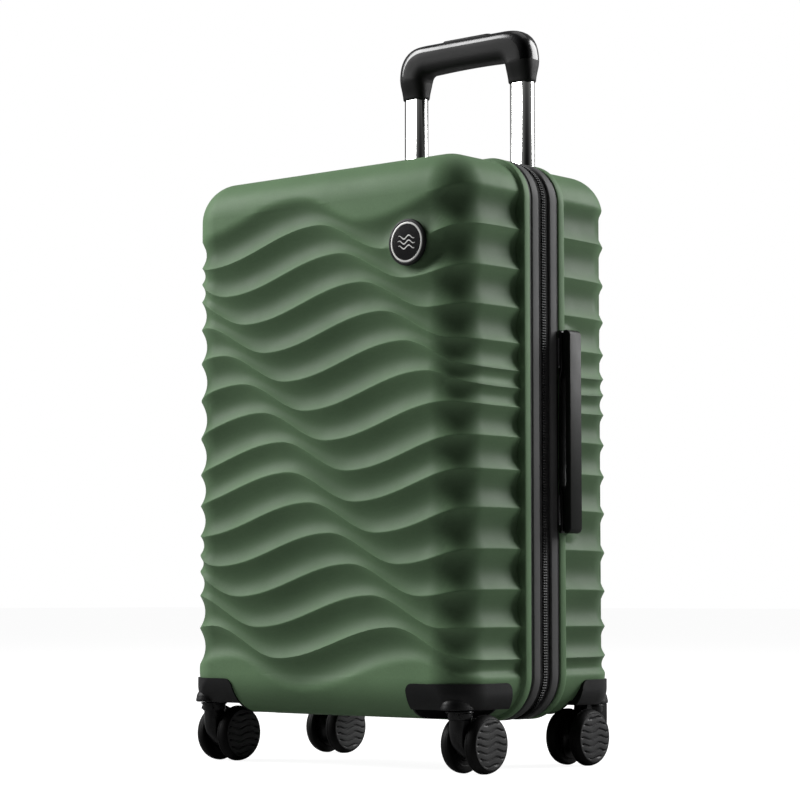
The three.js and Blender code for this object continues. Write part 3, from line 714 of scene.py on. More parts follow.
def shellPress(half):
    handleMiddle = 304.5

    def press(s, x, depth, z, normal):
        amount = scoop(s, z)
        if amount <= 0:
            return x, depth, z
        amount *= smoothStep(82, 90, z) + (1 - smoothStep(82, 90, z)) * (1 - smoothStep(92, 108, abs(x)))
        if half == "rear":
            onFace = normal[1] > 0.7
            if onFace:
                behindTubes = 1 - smoothStep(92, 112, abs(x))
                amount = min(amount, 3.2) * (1 - 0.5 * behindTubes) * 0.72 if behindTubes > 0.5 else min(amount, 3.0)
            if x > 150 and normal[0] > 0.7:
                along, across = abs(z - handleMiddle) - 95, abs(depth - 29) - 13
                amount *= smoothStep(0, 5, max(along, across))
        else:
            badgeFar = math.hypot(x - 111, z - 468)
            if normal[1] > 0.9:
                amount *= 0.35 + 0.65 * smoothStep(18, 30, badgeFar)
        return x - normal[0] * amount, depth - normal[1] * amount, z - normal[2] * amount

    return press


def buildShell(half):
    end = -1 if half == "front" else 1
    far, near, stand = case["flangeFar"], case["flangeNear"], -case["flangeStand"]
    count = shellValues["wallRings"]
    wallStart = case["halfDepth"] - case["round"]
    wall = [(0.0, wallStart - (wallStart - far - 1.6) * i / count, True) for i in range(1, count + 1)]
    wall += [(0.0, far + 1.45, False), (stand + 0.9, far + 0.5, False), (stand + 0.25, far - 0.1, False),
             (stand, far - 0.9, False), (stand, near + 0.9, False), (stand + 0.3, near + 0.25, False), (stand + 0.9, near, False)]
    back = shellValues["innerInset"]
    face = shellValues["innerFace"][half]
    inner = [(back - 0.6, near), (back, near + 0.6), (back, wallStart)]
    for i in (1, 2, 3, 4):
        t = i / 4 * math.pi / 2
        inner.append((case["round"] - (case["round"] - back) * math.cos(t), wallStart + (face - wallStart) * math.sin(t)))
    part = casePan(end, case["halfDepth"], wall, inner, shellPress(half))
    shell = looseObject(half + "Shell", [part])
    for sx in (-1, 1):
        well = looseObject("well", [lathe([(0, 20), (46.3, 20), (46.3, 60.3), (0, 60.3)], (sx * case["swivelX"], end * case["swivelY"], 0), "z", 72)])
        cutWith(shell, well)
        if half == "rear":
            slot = [(sx * case["tubeX"] + a, case["tubeY"] + b) for a, b in rounded(32.4, 22.4, 11.1, 10)]
            cutWith(shell, looseObject("slot", [bar(slot, (500, 570))]))
    # how hollow each point lies, for the painted shade the finish lays in the scoops
    mesh = shell.data
    mark = mesh.attributes.new("hollow", "FLOAT", "POINT")
    values = []
    for v in mesh.vertices:
        x, z = (v.co.x - middleX) * 1000, v.co.z * 1000
        depth = abs(v.co.y - zipY) * 1000
        s = x if depth > wallStart + 30 else math.copysign(160, x)
        values.append(min(scoop(s, z) / 5, 1.0) if depth > far else 0.0)
    mark.data.foreach_set("value", values)
    finished(shell, green, half + "_case", (half + "_shell",), 42)
    print(half, "shell", len(mesh.polygons))


buildShell("front")
buildShell("rear")


# ---- rows of teeth and stitches
def rowOfBars():
    tree = bpy.data.node_groups.new("rowOfBars", "GeometryNodeTree")
    sockets = tree.interface
    sockets.new_socket("Path", in_out="INPUT", socket_type="NodeSocketGeometry")
    for name, value in (("Pitch", 0.0026), ("Radius", 0.0006), ("Length", 0.0024), ("Across Share", 0.0)):
        sockets.new_socket(name, in_out="INPUT", socket_type="NodeSocketFloat").default_value = value
    sockets.new_socket("Across", in_out="INPUT", socket_type="NodeSocketVector")
    sockets.new_socket("Seed", in_out="INPUT", socket_type="NodeSocketInt").default_value = 4
    sockets.new_socket("Finish", in_out="INPUT", socket_type="NodeSocketMaterial")
    sockets.new_socket("Row", in_out="OUTPUT", socket_type="NodeSocketGeometry")
    make = tree.nodes.new
    given, result = make("NodeGroupInput"), make("NodeGroupOutput")
    curve, spread = make("GeometryNodeMeshToCurve"), make("GeometryNodeResampleCurve")
    spread.mode = "LENGTH"
    bar = make("GeometryNodeMeshCylinder")
    bar.inputs["Vertices"].default_value = 6
    tangent, aim, lie = make("GeometryNodeInputTangent"), make("FunctionNodeAlignRotationToVector"), make("ShaderNodeMix")
    lie.data_type = "VECTOR"
    place, vary = make("GeometryNodeInstanceOnPoints"), make("FunctionNodeRandomValue")
    vary.inputs[2].default_value, vary.inputs[3].default_value = 0.93, 1.05
    real, coat = make("GeometryNodeRealizeInstances"), make("GeometryNodeSetMaterial")
    link(tree, given.outputs["Path"], curve.inputs["Mesh"])
    link(tree, curve.outputs["Curve"], spread.inputs["Curve"])
    link(tree, given.outputs["Pitch"], spread.inputs["Length"])
    link(tree, given.outputs["Radius"], bar.inputs["Radius"])
    link(tree, given.outputs["Length"], bar.inputs["Depth"])
    link(tree, given.outputs["Across Share"], lie.inputs[0])
    link(tree, tangent.outputs[0], lie.inputs[4])
    link(tree, given.outputs["Across"], lie.inputs[5])
    link(tree, lie.outputs[1], aim.inputs["Vector"])
    link(tree, given.outputs["Seed"], vary.inputs["Seed"])
    link(tree, spread.outputs["Curve"], place.inputs["Points"])
    link(tree, bar.outputs["Mesh"], place.inputs["Instance"])
    link(tree, aim.outputs["Rotation"], place.inputs["Rotation"])
    link(tree, vary.outputs[1], place.inputs["Scale"])
    link(tree, place.outputs["Instances"], real.inputs["Geometry"])
    link(tree, real.outputs["Geometry"], coat.inputs["Geometry"])
    link(tree, given.outputs["Finish"], coat.inputs["Material"])
    link(tree, coat.outputs["Geometry"], result.inputs["Row"])
    return tree


barTree = rowOfBars()
barSockets = {s.name: s.identifier for s in barTree.interface.items_tree if s.in_out == "INPUT"}


def barSizes(pitch, radius, length, seed, across=None):
    # metres; bars lie along their path, or along the given direction
    values = {"Pitch": pitch, "Radius": radius, "Length": length, "Across Share": 1.0 if across else 0.0, "Seed": seed}
    return {**values, "Across": across} if across else values


def barsAlong(name, paths, values, finish, body):
    points, edges = [], []
    for path in paths:
        base = len(points)
        points.extend(toFrame(p) for p in path)
        edges.extend((base + i, base + i + 1) for i in range(len(path) - 1))
    mesh = bpy.data.meshes.new(name)
    mesh.from_pydata(points, edges, [])
    obj = linked(name, mesh)
    tool = obj.modifiers.new("row", "NODES")
    tool.node_group = barTree
    for key, value in {**values, "Finish": finish}.items():
        tool[barSockets[key]] = value
    settled(obj)
    return finished(obj, finish, body)


# ---- piping, gasket, zip tape and coil round each half
zipValues = {
    "bead": (-3.35, -0.5, 8.0, 18.2), "gasket": (-2.3, -0.6, 18.1, 21.3), "tape": (-1.5, 0.5, 0.35, 7.7),
    "coilInset": -2.0, "coilDepth": 1.35, "tooth": (0.0024, 0.00085, 0.0023), "stitchDepth": 6.1,
}
stations = outlineStations()
firstLeft = next(i for i, s in enumerate(stations) if s[2] < -0.999 and s[1] <= 124)
openRun = [s for s in stations[firstLeft:] + stations[:firstLeft] if not (s[2] < -0.999 and 124 < s[1] < 472)]
for half, end in (("front", -1), ("rear", 1)):
    body = half + "_case"
    for name, key, radius, steps, finish, swaps, slot in (
            ("Piping", "bead", 1.35, 5, pipingGrey, (half + "_piping",), "piping"),
            ("Gasket", "gasket", 0.6, 3, guardBlack, (), "trim"),
            ("ZipTape", "tape", 0.4, 3, tapeCloth, (half + "_zip_tape",), "zip")):
        section = roundSection(*zipValues[key], radius, steps)
        finished(looseObject(half + name, [outlineBand(section, end, stations)]), finish, body, swaps, 40)
    path = [outlinePoint(s, zipValues["coilInset"], end * zipValues["coilDepth"]) for s in openRun]
    barsAlong(half + "Coil", [path], barSizes(*zipValues["tooth"], 7, (0, 1, 0)), toothBlack, body)
    path = [outlinePoint(s, zipValues["tape"][0] - 0.05, end * zipValues["stitchDepth"]) for s in openRun]
    barsAlong(half + "TapeStitches", [path], barSizes(0.0036, 0.00022, 0.0026, 3), darkThread, body)

# the cloth spine on the hinge side
spineLow, spineHigh = boxOf("hinge_tape")
rows = []
for j in range(29):
    z = spineLow[2] + (spineHigh[2] - spineLow[2]) * j / 28
    ring = []
    for i in range(33):
        y = spineLow[1] + (spineHigh[1] - spineLow[1]) * i / 32
        ring.append((spineLow[0] + 0.25 * math.cos(i * math.pi / 2) ** 2, y, z))
    ring += [(spineHigh[0], y, z) for _, y, _ in reversed(ring)]
    rows.append(ring)
spine = looseObject("hingeSpine", [loft(rows)])
finished(spine, tapeCloth, None, ("hinge_tape",), 40)
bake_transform(spine)
for half, end in (("front", -1), ("rear", 1)):
    y = end * 6.4
    path = [(spineLow[0] - 0.05, y, spineLow[2] + 3 + (spineHigh[2] - spineLow[2] - 6) * i / 60) for i in range(61)]
    barsAlong(half + "SpineStitches", [path], barSizes(0.0036, 0.00024, 0.0026, 5), darkThread, half + "_case")
print("zip band")


# ---- corner guards
guardValues = {"grow": 1.5, "corner": 24.0, "innerX": 103.0, "topX": 106.0, "top": 79.0, "bend": 8.0,
               "floor": 56, "well": 43.67, "dome": (13.8, 11.5), "hood": 1.38,
               "sideEnd": {"front": (45.5, 47.0), "rear": (50.0, 58.0)}}


def plainHalf(grow, corner, steps=18):
    # one half's outer shape, grown, without relief: front at -y
    rings, bend = [], case["round"] + grow
    for i in range(steps + 1):
        t = i / steps * math.pi / 2
        rings.append((-grow + bend * (1 - math.sin(t)), case["halfDepth"] + grow - bend * (1 - math.cos(t))))
    rings.append((-grow, 0.0))
    made = []
    for inset, depth in rings:
        side, c = case["halfWidth"] - inset, max(corner - inset, 2.5)
        high, low = case["top"] - inset - c, case["bottom"] + inset + c
        ring = []
        for quarter, (sign, z) in enumerate(((1, high), (-1, high), (-1, low), (1, low))):
            for step in range(25):
                a = (quarter + step / 24) * math.pi / 2
                ring.append((sign * (side - c) + c * math.cos(a), -depth, z + c * math.sin(a)))
        made.append(ring)
    return loft(made)


def bentEdge(low, high, top, bend):
    # a slanted end with a rounded upper corner, closed far outside
    points = [(low, 44), (high, top - bend)]
    for i in range(1, 9):
        a = i / 8 * math.pi / 2
        points.append((high + bend - bend * math.cos(a), top - bend + bend * math.sin(a)))
    return points + [(260, top), (260, 44)]


def buildGuard(half):
    v = guardValues
    acrossX = bentEdge(v["innerX"], v["topX"], v["top"], v["bend"])
    acrossY = bentEdge(*v["sideEnd"][half], v["top"], v["bend"])
    wrap = looseObject("wrap", [plainHalf(v["grow"], v["corner"])])
    cutWith(wrap, looseObject("prism", [loft([[(x, y, z) for x, z in acrossX] for y in (-300, 10)])]), "INTERSECT")
    cutWith(wrap, looseObject("prism", [loft([[(x, -y, z) for y, z in acrossY] for x in (-10, 300)])]), "INTERSECT")
    cutWith(wrap, looseObject("inside", [plainHalf(0.12, case["corner"])]))
    cutWith(wrap, looseObject("foot", [bar([(0, -300), (300, -300), (300, 0), (0, 0)], (0, v["floor"]))]))
    centre = (case["swivelX"], -case["swivelY"], 0)
    well, lid = v["well"], v["floor"] + 4
    cup = looseObject("cup", [lathe([(0, v["floor"]), (42.9, v["floor"]), (well, 55.2), (well, 47), (45.97, 47), (45.97, 59.4),
                                     (45.4, lid), (0, lid)], centre, "z", 96)])
    cutWith(cup, looseObject("envelope", [plainHalf(0.2, case["corner"])]), "INTERSECT")
    radius, rise = v["dome"]
    crown = [(0, 56.3), (13.6, 56.3), (14.1, 56.8), (14.2, 58.5), (radius, lid)]
    for i in range(1, 16):
        a = i / 16 * math.pi / 2
        crown.append((radius * math.cos(a), lid + rise * math.sin(a)))
    crown.append((0, lid + rise))
    cutWith(wrap, cup, "UNION")

    def stretch(p):
        out = p[1] - centre[1]
        return p[0], centre[1] + out * (v["hood"] if out < 0 else 1), p[2]

    cutWith(wrap, looseObject("dome", [moved(lathe(crown, centre, "z", 64), stretch)]), "UNION")
    sweep = lathe([(0, -60), (well, -60), (well, v["floor"]), (0, v["floor"])], centre, "z", 96)
    cutWith(wrap, looseObject("sweep", [sweep]))
    return wrap


for half, end in (("front", -1), ("rear", 1)):
    master = buildGuard(half)
    for side, sx in (("left", -1), ("right", 1)):
        guard = linked(half + side.title() + "Guard", master.data.copy())
        for vertex in guard.data.vertices:
            x, y = vertex.co.x - middleX, vertex.co.y - zipY
            vertex.co.x, vertex.co.y = middleX + sx * x, zipY - end * y
        if sx * -end < 0:
            guard.data.flip_normals()
        finished(guard, guardBlack, half + "_case", (f"{half}_{side}_guard",), 32)
    bpy.data.objects.remove(master)
print("guards")


# ---- casters: fork, wheels and hub caps
casterValues = {
    "trail": 20.5, "wheel": 26.0, "half": 5.5, "gap": 14.0, "legHalf": 7.6,
    "capRadius": 22.1, "capRise": 0.6, "wavePitch": 6.1, "waveHeight": 1.7, "waveLength": 28.0, "groove": 1.2,
}


def softened(points, times=3):
    for _ in range(times):
        cut = []
        for i, (ax, ay) in enumerate(points):
            bx, by = points[(i + 1) % len(points)]
            cut += [(ax * 0.75 + bx * 0.25, ay * 0.75 + by * 0.25), (ax * 0.25 + bx * 0.75, ay * 0.25 + by * 0.75)]
        points = cut
    return points


def hubCap(x, y, outward):
    v = casterValues
    r = v["capRadius"]
    heights = []
    for k in range(-4, 5):
        for o in (-2.9, -1.7, -1.2, -0.85, -0.5, 0.0, 0.5, 0.85, 1.2, 1.7):
            h = k * v["wavePitch"] + o
            if abs(h) < r - 0.15:
                heights.append(h)
    heights = [-r] + heights + [r]
    columns = 44
    points, index = [], {}
    for j, base in enumerate(heights):
        chord = math.sqrt(max(r * r - base * base, 0))
        for i in range(columns + 1):
            across = chord * math.sin((i / columns - 0.5) * math.pi)
            rim = min(math.hypot(across, base) / r, 1)
            up = base + v["waveHeight"] * math.sin(2 * math.pi * across / v["waveLength"]) * (1 - rim ** 5)
            near = min(abs(base - k * v["wavePitch"]) for k in range(-4, 5))
            dip = v["groove"] * (1 - smoothStep(0.45, 1.3, near)) * (1 - smoothStep(0.86, 0.96, rim)) * smoothStep(0.0, 0.5, chord / r)
            level = v["half"] + v["capRise"] * (1 - rim ** 4) - dip
            index[i, j] = len(points)
            points.append((x + outward * level, y + across, v["wheel"] + up))
    faces = []
    for j in range(len(heights) - 1):
        for i in range(columns):
            faces.append((index[i, j], index[i + 1, j], index[i + 1, j + 1], index[i, j + 1]))
    border = [index[columns, j] for j in range(len(heights))] + [index[0, j] for j in range(len(heights) - 2, 0, -1)]
    backs = []
    for b in border:
        backs.append(len(points))
        points.append((x + outward * (v["half"] - 0.9), points[b][1], points[b][2]))
    for i in range(len(border)):
        j = (i + 1) % len(border)
        faces.append((border[i], border[j], backs[j], backs[i]))
    faces.append(tuple(backs))
    return points, faces


def tyre(x, y, outward):
    profile = [(3.3, -5.5), (14.5, -5.5), (15.2, -5.0), (18.8, -5.0), (19.5, -5.5), (23.6, -5.5), (24.9, -5.2), (25.7, -4.5),
               (26.0, -3.5), (26.0, -2.7), (25.75, -2.5), (25.75, -2.2), (25.97, -2.0), (25.9, -0.8), (25.65, 0.6), (25.2, 2.0),
               (24.6, 3.3), (23.8, 4.5), (23.1, 5.2), (22.7, 5.45), (22.4, 5.5), (22.2, 5.3), (22.2, 4.7), (3.3, 4.7)]
    return lathe([(r, outward * a) for r, a in profile], (x, y, casterValues["wheel"]), "x", 72)


def forkParts(sx, end):
    v = casterValues
    x, y = sx * case["swivelX"], end * case["swivelY"]
    side = [(-9.2, 55.2), (-9.2, 44), (-9.0, 36), (-7.0, 27.5), (-1.0, 20), (8, 13.5), (17, 12.2), (25, 13.4), (31.5, 19), (33.6, 27),
            (31, 34.5), (24, 39.2), (14.5, 42), (10.5, 47), (9.2, 55.2)]
    outline = [(-end * a, h) for a, h in softened([side[0], side[0]] + side[1:-1] + [side[-1], side[-1]], 2)]
    leg = pillow(outline, -v["legHalf"], v["legHalf"], 6.2, lambda a, h, t: (x + t, y + a, h), 6)
    collar = lathe([(0, 47.5), (9.6, 47.5), (10.6, 48.2), (11.0, 49.4), (11.0, 53.4), (11.9, 53.9), (12.3, 54.6),
                    (12.1, 55.3), (0, 55.4)], (x, y, 0), "z", 56)
    return leg, collar


for half, end in (("front", -1), ("rear", 1)):
    for side, sx in (("left", -1), ("right", 1)):
        corner, name = f"{half}_{side}", half + side.title()
        leg, collar = forkParts(sx, end)
        finished(looseObject(name + "Fork", [leg]), forkBlack, corner + "_caster", (corner + "_fork",), 50)
        finished(looseObject(name + "Collar", [collar]), forkBlack, corner + "_caster", (), 40)
        y = end * (case["swivelY"] - casterValues["trail"])
        for place, shift in (("inner", -1), ("outer", 1)):
            x, outward = sx * (case["swivelX"] + shift * casterValues["gap"]), sx * shift
            body = f"{corner}_{place}_wheel"
            piece = name + place.title()
            finished(looseObject(piece + "Tyre", [tyre(x, y, outward)]), tread, body, (body,), 34)
            finished(looseObject(piece + "HubCap", [hubCap(x, y, outward)]), capGrey, body, (), 50)
        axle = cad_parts[corner + "_axle"].data.materials
        axle.clear()
        axle.append(steel)
print("casters")


# ---- pull handle
tubeValues = {"wall": 1.1, "rim": 0.35}


def tubeSkin(width, depth, low, high, x, y, wall):
    # a drawn tube with a flat face and round ends, open inside, its rims eased
    soft = tubeValues["rim"]
    outer = rounded(width, depth, depth / 2 - 0.01, 14)
    bore = [(a * (width - 2 * wall) / width, b * (depth - 2 * wall) / depth) for a, b in outer]

    def ring(points, grow, z):
        return [(x + a * (1 + grow / width * 2), y + b * (1 + grow / depth * 2), z) for a, b in points]

    rings = [ring(outer, -soft, low), ring(outer, 0, low + soft), ring(outer, 0, high - soft), ring(outer, -soft, high),
             ring(bore, 0, high), ring(bore, 0, low)]
    return loft(rings, looped=True)


for stage, body, finish, slot in (("outer", "rear_case", satinTube, "metal"), ("middle", "trolley_middle", satinTube, "metal"),
                                  ("inner", "trolley_inner", chrome, "chrome")):
    for side, sx in (("left", -1), ("right", 1)):
        node = f"{stage}_tube_{side}"
        low, high = boxOf(node)
        part = tubeSkin(high[0] - low[0], high[1] - low[1], low[2], high[2], sx * case["tubeX"], case["tubeY"], tubeValues["wall"])
        finished(looseObject(stage + "Tube" + side.title(), [part]), finish, body, (node,), 50)

gripValues = {
    "bottom": 653.0, "foot": (27.6, 17.8), "taper": 22.0, "top": 706.0, "thick": 31.0, "deep": 27.0, "bend": 20.0,
    "section": 3.2, "inlay": 0.88, "slim": 1.6, "square": 4.2, "pocketDeep": 9.4, "socket": (-8, 7),
}


def gripRings():
    v = gripValues
    middle = v["top"] - v["thick"] / 2
    legX = case["tubeX"]
    cx, cz = legX - v["bend"], middle - v["bend"]
    path = [(-legX, v["bottom"] + h, 0.0) for h in (0.0, 0.5, 1.4, 3.0)]
    straight = cz - (v["bottom"] + 3.0)
    path += [(-legX, v["bottom"] + 3.0 + straight * i / 10, 0.0) for i in range(1, 10)]
    turns = [i / 14 * math.pi / 2 for i in range(15)]
    path += [(-cx - v["bend"] * math.cos(t), cz + v["bend"] * math.sin(t), t) for t in turns]
    path += [(-cx + cx * i / 12, middle, math.pi / 2) for i in range(1, 12)]
    path = path + [(0.0, middle, math.pi / 2)] + [(-x, z, math.pi - t) for x, z, t in reversed(path)]
    rings, count = [], 56
    for n, (x, z, turn) in enumerate(path):
        edge = min(n, len(path) - 1 - n)
        ease = {0: 1.6, 1: 0.7, 2: 0.15}.get(edge, 0.0)
        across = abs(x) / legX
        slim = v["slim"] * math.cos(min(across, 1) * math.pi / 2) if abs(turn - math.pi / 2) < 1.2 else 0
        blend = smoothStep(0, v["taper"], z - v["bottom"]) if n * 2 != len(path) - 1 and turn in (0.0, math.pi) else 1
        thick = (v["foot"][0] + (v["thick"] - v["foot"][0]) * blend) / 2 - ease * 0.5
        deep = (v["foot"][1] + (v["deep"] - v["foot"][1]) * blend) / 2 - ease * 0.5
        ring = []
        for i in range(count):
            a = 2 * math.pi * i / count
            c, s = math.cos(a), math.sin(a)
            k = (abs(c) ** v["section"] + abs(s) ** v["section"]) ** (-1 / v["section"])
            out, over = thick * c * k, deep * s * k
            if c < 0:
                out += slim * 1.4 * (-c)
            else:
                out += v["square"] * c * math.sin(2 * turn) ** 2
            if 0 < v["inlay"] - abs(math.sin(a)) < 0.09 and c > 0:
                out -= 0.45
            ring.append((x - out * math.cos(turn), case["tubeY"] + over, z + out * math.sin(turn)))
        rings.append(ring)
    return rings, path, count


rings, path, count = gripRings()
gripPart = loft(rings)
marks = []
for r in range(len(rings) - 1):
    for i in range(count):
        a = 2 * math.pi * (i + 0.5) / count
        top = math.cos(a) > 0 and abs(math.sin(a)) < gripValues["inlay"] and math.sin(path[r][2]) > 0.12
        marks.append(1 if top else 0)
marks += [0, 0]
grip = looseObject("trolleyGrip", [(gripPart[0], gripPart[1], marks)])
for material in (softTouch, glossBlack):
    grip.data.materials.append(material)
buttonLow, buttonHigh = boxOf("trolley_button")
bw, bd = buttonHigh[0] - buttonLow[0], buttonHigh[1] - buttonLow[1]
midY = (buttonLow[1] + buttonHigh[1]) / 2
pocket = [(a, midY + b) for a, b in rounded(bw + 0.8, bd + 0.8, 5.2, 8)]
cutWith(grip, looseObject("pocket", [bar(pocket, (gripValues["top"] - gripValues["pocketDeep"], 730))]))
for sx in (-1, 1):
    socket = [(sx * case["tubeX"] + a, case["tubeY"] + b) for a, b in rounded(26.5, 16.5, 8.2, 12)]
    cutWith(grip, looseObject("socket", [bar(socket, [gripValues["bottom"] + h for h in gripValues["socket"]])]))
finished(grip, [softTouch, glossBlack], "trolley_inner", ("trolley_grip",), 36)


def thumbDish(a, b, h):
    # the button's top is hollowed a little toward its middle
    dip = 0.5 * max(0, 1 - (a / 22) ** 2) if h > buttonHigh[2] - 3.2 else 0
    return a, midY + b, h - dip


button = pillow(rounded(bw, bd, 4.9, 10), buttonLow[2], buttonHigh[2], 1.1, thumbDish, 5)
finished(looseObject("trolleyButton", [button]), handleBlack, "trolley_button", ("trolley_button",), 40)
refined("trolley_bezel", "trolleyBezel", handleBlack, "rear_case", 0.7, 3, 30)
refined("trolley_bracket", "trolleyBracket", satinTube, "rear_case", 0.8, 3, 30)
print("pull handle")


# ---- carry handles
def handlePieces(where, body, place, length):
    refined(f"{where}_handle_base", where + "HandleBase", glossBlack, "rear_case", 0.9, 4, 28)
    refined(f"{where}_handle_grip", where + "HandleGrip", handleBlack, body, 1.7, 5, 28)
    inlays = []
    for side in (-1, 1):
        # a bright strip let into both long sides of each end block
        outline = [(side * (length / 2 - 21) + a, 4.4 + b) for a, b in rounded(27, 2.2, 1.05, 6)]
        for low, high in ((-10.35, -9.4), (9.4, 10.35)):
            inlays.append(pillow(outline, low, high, 0.3, place, 3))
    finished(looseObject(where + "HandleStrips", inlays), brightTrim, "rear_case", (), 40)


sideMiddle = sum(boxOf("side_handle_base")[i][2] for i in (0, 1)) / 2
handlePieces("side", "side_handle", lambda a, o, c: (case["halfWidth"] + o, 29 + c, sideMiddle + a), 185)
topLow, topHigh = boxOf("top_handle_base")
topY = (topLow[1] + topHigh[1]) / 2
handlePieces("top", "top_handle", lambda a, o, c: (a, topY + c, case["top"] + o), 170)
print("handles")


# ---- badge: rim, face, white ring and a plain wave sign
badgeValues = {"x": 111.0, "z": 468.0, "waves": 3, "rise": 1.5, "gap": 4.4, "half": 9.0, "stroke": 0.75}


badgeAt = (badgeValues["x"], 0, badgeValues["z"])
rim = lathe([(0, -119.25), (20.1, -119.25), (20.9, -119.9), (21.0, -121.6), (20.7, -122.6), (19.9, -123.2), (18.9, -123.3),
             (18.45, -122.9), (18.4, -122.4), (0, -122.4)], badgeAt, "y", 96)
finished(looseObject("badgeRim", [rim]), guardBlack, "front_case", ("badge",), 34)
face = lathe([(0, -122.3), (16.2, -122.3), (16.2, -122.75), (12, -122.95), (6, -123.05), (0, -123.08)], badgeAt, "y", 96)
finished(looseObject("badgeFace", [face]), badgeBlack, "front_case", (), 34)
ring = latheRing([(16.35, -122.3), (16.35, -123.0), (16.6, -123.2), (17.8, -123.2), (18.1, -123.0), (18.1, -122.3)], badgeAt, "y", 96)
finished(looseObject("badgeRing", [ring]), whiteInk, "front_case", (), 34)
strokes = []
for k in range(badgeValues["waves"]):
    level = (k - 1) * badgeValues["gap"]
    half = math.sqrt(max(12.5 ** 2 - level ** 2, 0)) * 0.8
    row = []
    for i in range(49):
        x = -half + 2 * half * i / 48
        z = level + badgeValues["rise"] * math.sin(x * 2 * math.pi / 11)
        t = badgeValues["stroke"] * max(math.sin(math.pi * i / 48), 0.04) ** 0.5
        section = ((-122.9, -1), (-123.25, -0.8), (-123.25, 0.8), (-122.9, 1))
        row.append([(badgeAt[0] + x, y, badgeAt[2] + z + s * t) for y, s in section])
    strokes.append(loft(row))
finished(looseObject("badgeWaves", strokes), whiteInk, "front_case", (), 40)


# ---- linings, divider and packing straps
liningValues = {
    "bottom": 57.0, "inset": 9.2, "hidden": 8.0, "wrinkle": 0.7, "face": {"front": 109.7, "rear": 90.3}, "rearRound": 13.0,
}


def buildLining(half):
    v = liningValues
    end = -1 if half == "front" else 1
    keep = case["bottom"]
    case["bottom"] = v["bottom"]
    face = v["face"][half]
    deep = case["round"] - v["inset"] if half == "front" else v["rearRound"]
    seed = 11 if half == "front" else 23

    def press(s, x, depth, z, normal):
        broad = noise.noise(Vector((x / 55, depth / 40, z / 75 + seed))) * 0.8
        soft = broad + noise.noise(Vector((x / 19, depth / 16, z / 31 + seed))) * 0.35
        tuck = 0.25 * math.sin(s / 3.1) * smoothStep(40, 14, depth) if depth < 40 else 0
        amount = v["wrinkle"] * (soft + 0.5) + tuck * 0.4
        return x - normal[0] * amount, depth - normal[1] * amount, z - normal[2] * amount

    start = face - deep
    wall = [(v["inset"], start - (start - 16) * i / 10, True) for i in range(1, 11)]
    wall += [(8.9, 14.2, False), (8.2, 12.9, False), (6.5, 12.3, False), (3.0, 12.1, False), (0.4, 12.0, False), (0.1, 12.5, False)]
    inner = [(0.4, 13.4), (5.6, 13.8), (7.6, 15.0), (v["hidden"], 18.0), (v["hidden"], start)]
    for i in (1, 2, 3, 4):
        t = i / 4 * math.pi / 2
        inner.append((case["round"] - (case["round"] - v["hidden"]) * math.cos(t), start + (face + 1.2 - start) * math.sin(t)))
    part = casePan(end, face, wall, inner, press, 44, 6, 30, v["inset"], deep)
    lining = looseObject(half + "Lining", [part])
    case["bottom"] = keep
    finished(lining, liningCloth, half + "_case", (half + "_lining",), 50)


buildLining("front")
buildLining("rear")
shellBottom, case["bottom"] = case["bottom"], liningValues["bottom"]
innerStations = outlineStations(14, 12.0)
case["bottom"] = shellBottom


def onPanel(a, b, h):
    return a, h, b


panelOutline = [(p[0], p[2]) for p in (outlinePoint(s, 12.6, 0) for s in innerStations)]
panel = pillow(panelOutline, -11.8, -9.7, 0.7, onPanel, 3)
finished(looseObject("dividerPanel", [panel]), dividerCloth, "divider", ("divider_panel",), 40)
binding = roundSection(12.1, 15.6, 9.45, 12.05, 1.1, 4)
finished(looseObject("dividerBinding", [outlineBand(binding, -1, innerStations)]), webbing, "divider", (), 40)
edgePath = [outlinePoint(s, 14.6, -9.42) for s in innerStations] + [outlinePoint(innerStations[0], 14.6, -9.42)]
barsAlong("dividerStitches", [edgePath], barSizes(0.0042, 0.00022, 0.003, 2), stitchThread, "divider")
pocketValues = {"half": 118.0, "low": 110.0, "high": 330.0, "zip": 345.0}
v = pocketValues
pocketMiddle, pocketHeight = (v["low"] + v["high"]) / 2, v["high"] - v["low"]
pocketMesh = pillow([(a, pocketMiddle + b) for a, b in rounded(2 * v["half"], pocketHeight, 14, 8)],
                    -9.75, -9.35, 0.15, onPanel, 2)
finished(looseObject("dividerPocket", [pocketMesh]), meshCloth, "divider", (), 40)
bands = []
for low, high in ((v["zip"] - 8, v["zip"] - 1.6), (v["zip"] + 1.6, v["zip"] + 8)):
    band = [(a, (low + high) / 2 + b) for a, b in rounded(2 * v["half"], high - low, 1.5, 4)]
    bands.append(pillow(band, -9.8, -9.25, 0.2, onPanel, 2))
around = [(a, pocketMiddle + b) for a, b in rounded(2 * v["half"] + 4, pocketHeight + 4, 15, 8)]
edgeRings = []
for a, b in around:
    up = b - pocketMiddle
    length = math.hypot(a, up)
    onSide = abs(a) > v["half"] - 12 and abs(up) < pocketHeight / 2 - 12
    na, nb = (math.copysign(1, a), 0) if onSide else (a / length, up / length)
    edgeRings.append([(a + na * w, y, b + nb * w) for w, y in ((-3.5, -9.7), (-3.5, -9.25), (0.5, -9.25), (0.5, -9.7))])
bands.append(loft(edgeRings, looped=True))
finished(looseObject("pocketBands", bands), webbing, "divider", (), 40)
line = [(-v["half"] + 2 + (2 * v["half"] - 4) * i / 60, -9.5, v["zip"]) for i in range(61)]
barsAlong("pocketCoil", [line], barSizes(0.0022, 0.0007, 0.0032, 9, (0, 0, 1)), toothBlack, "divider")

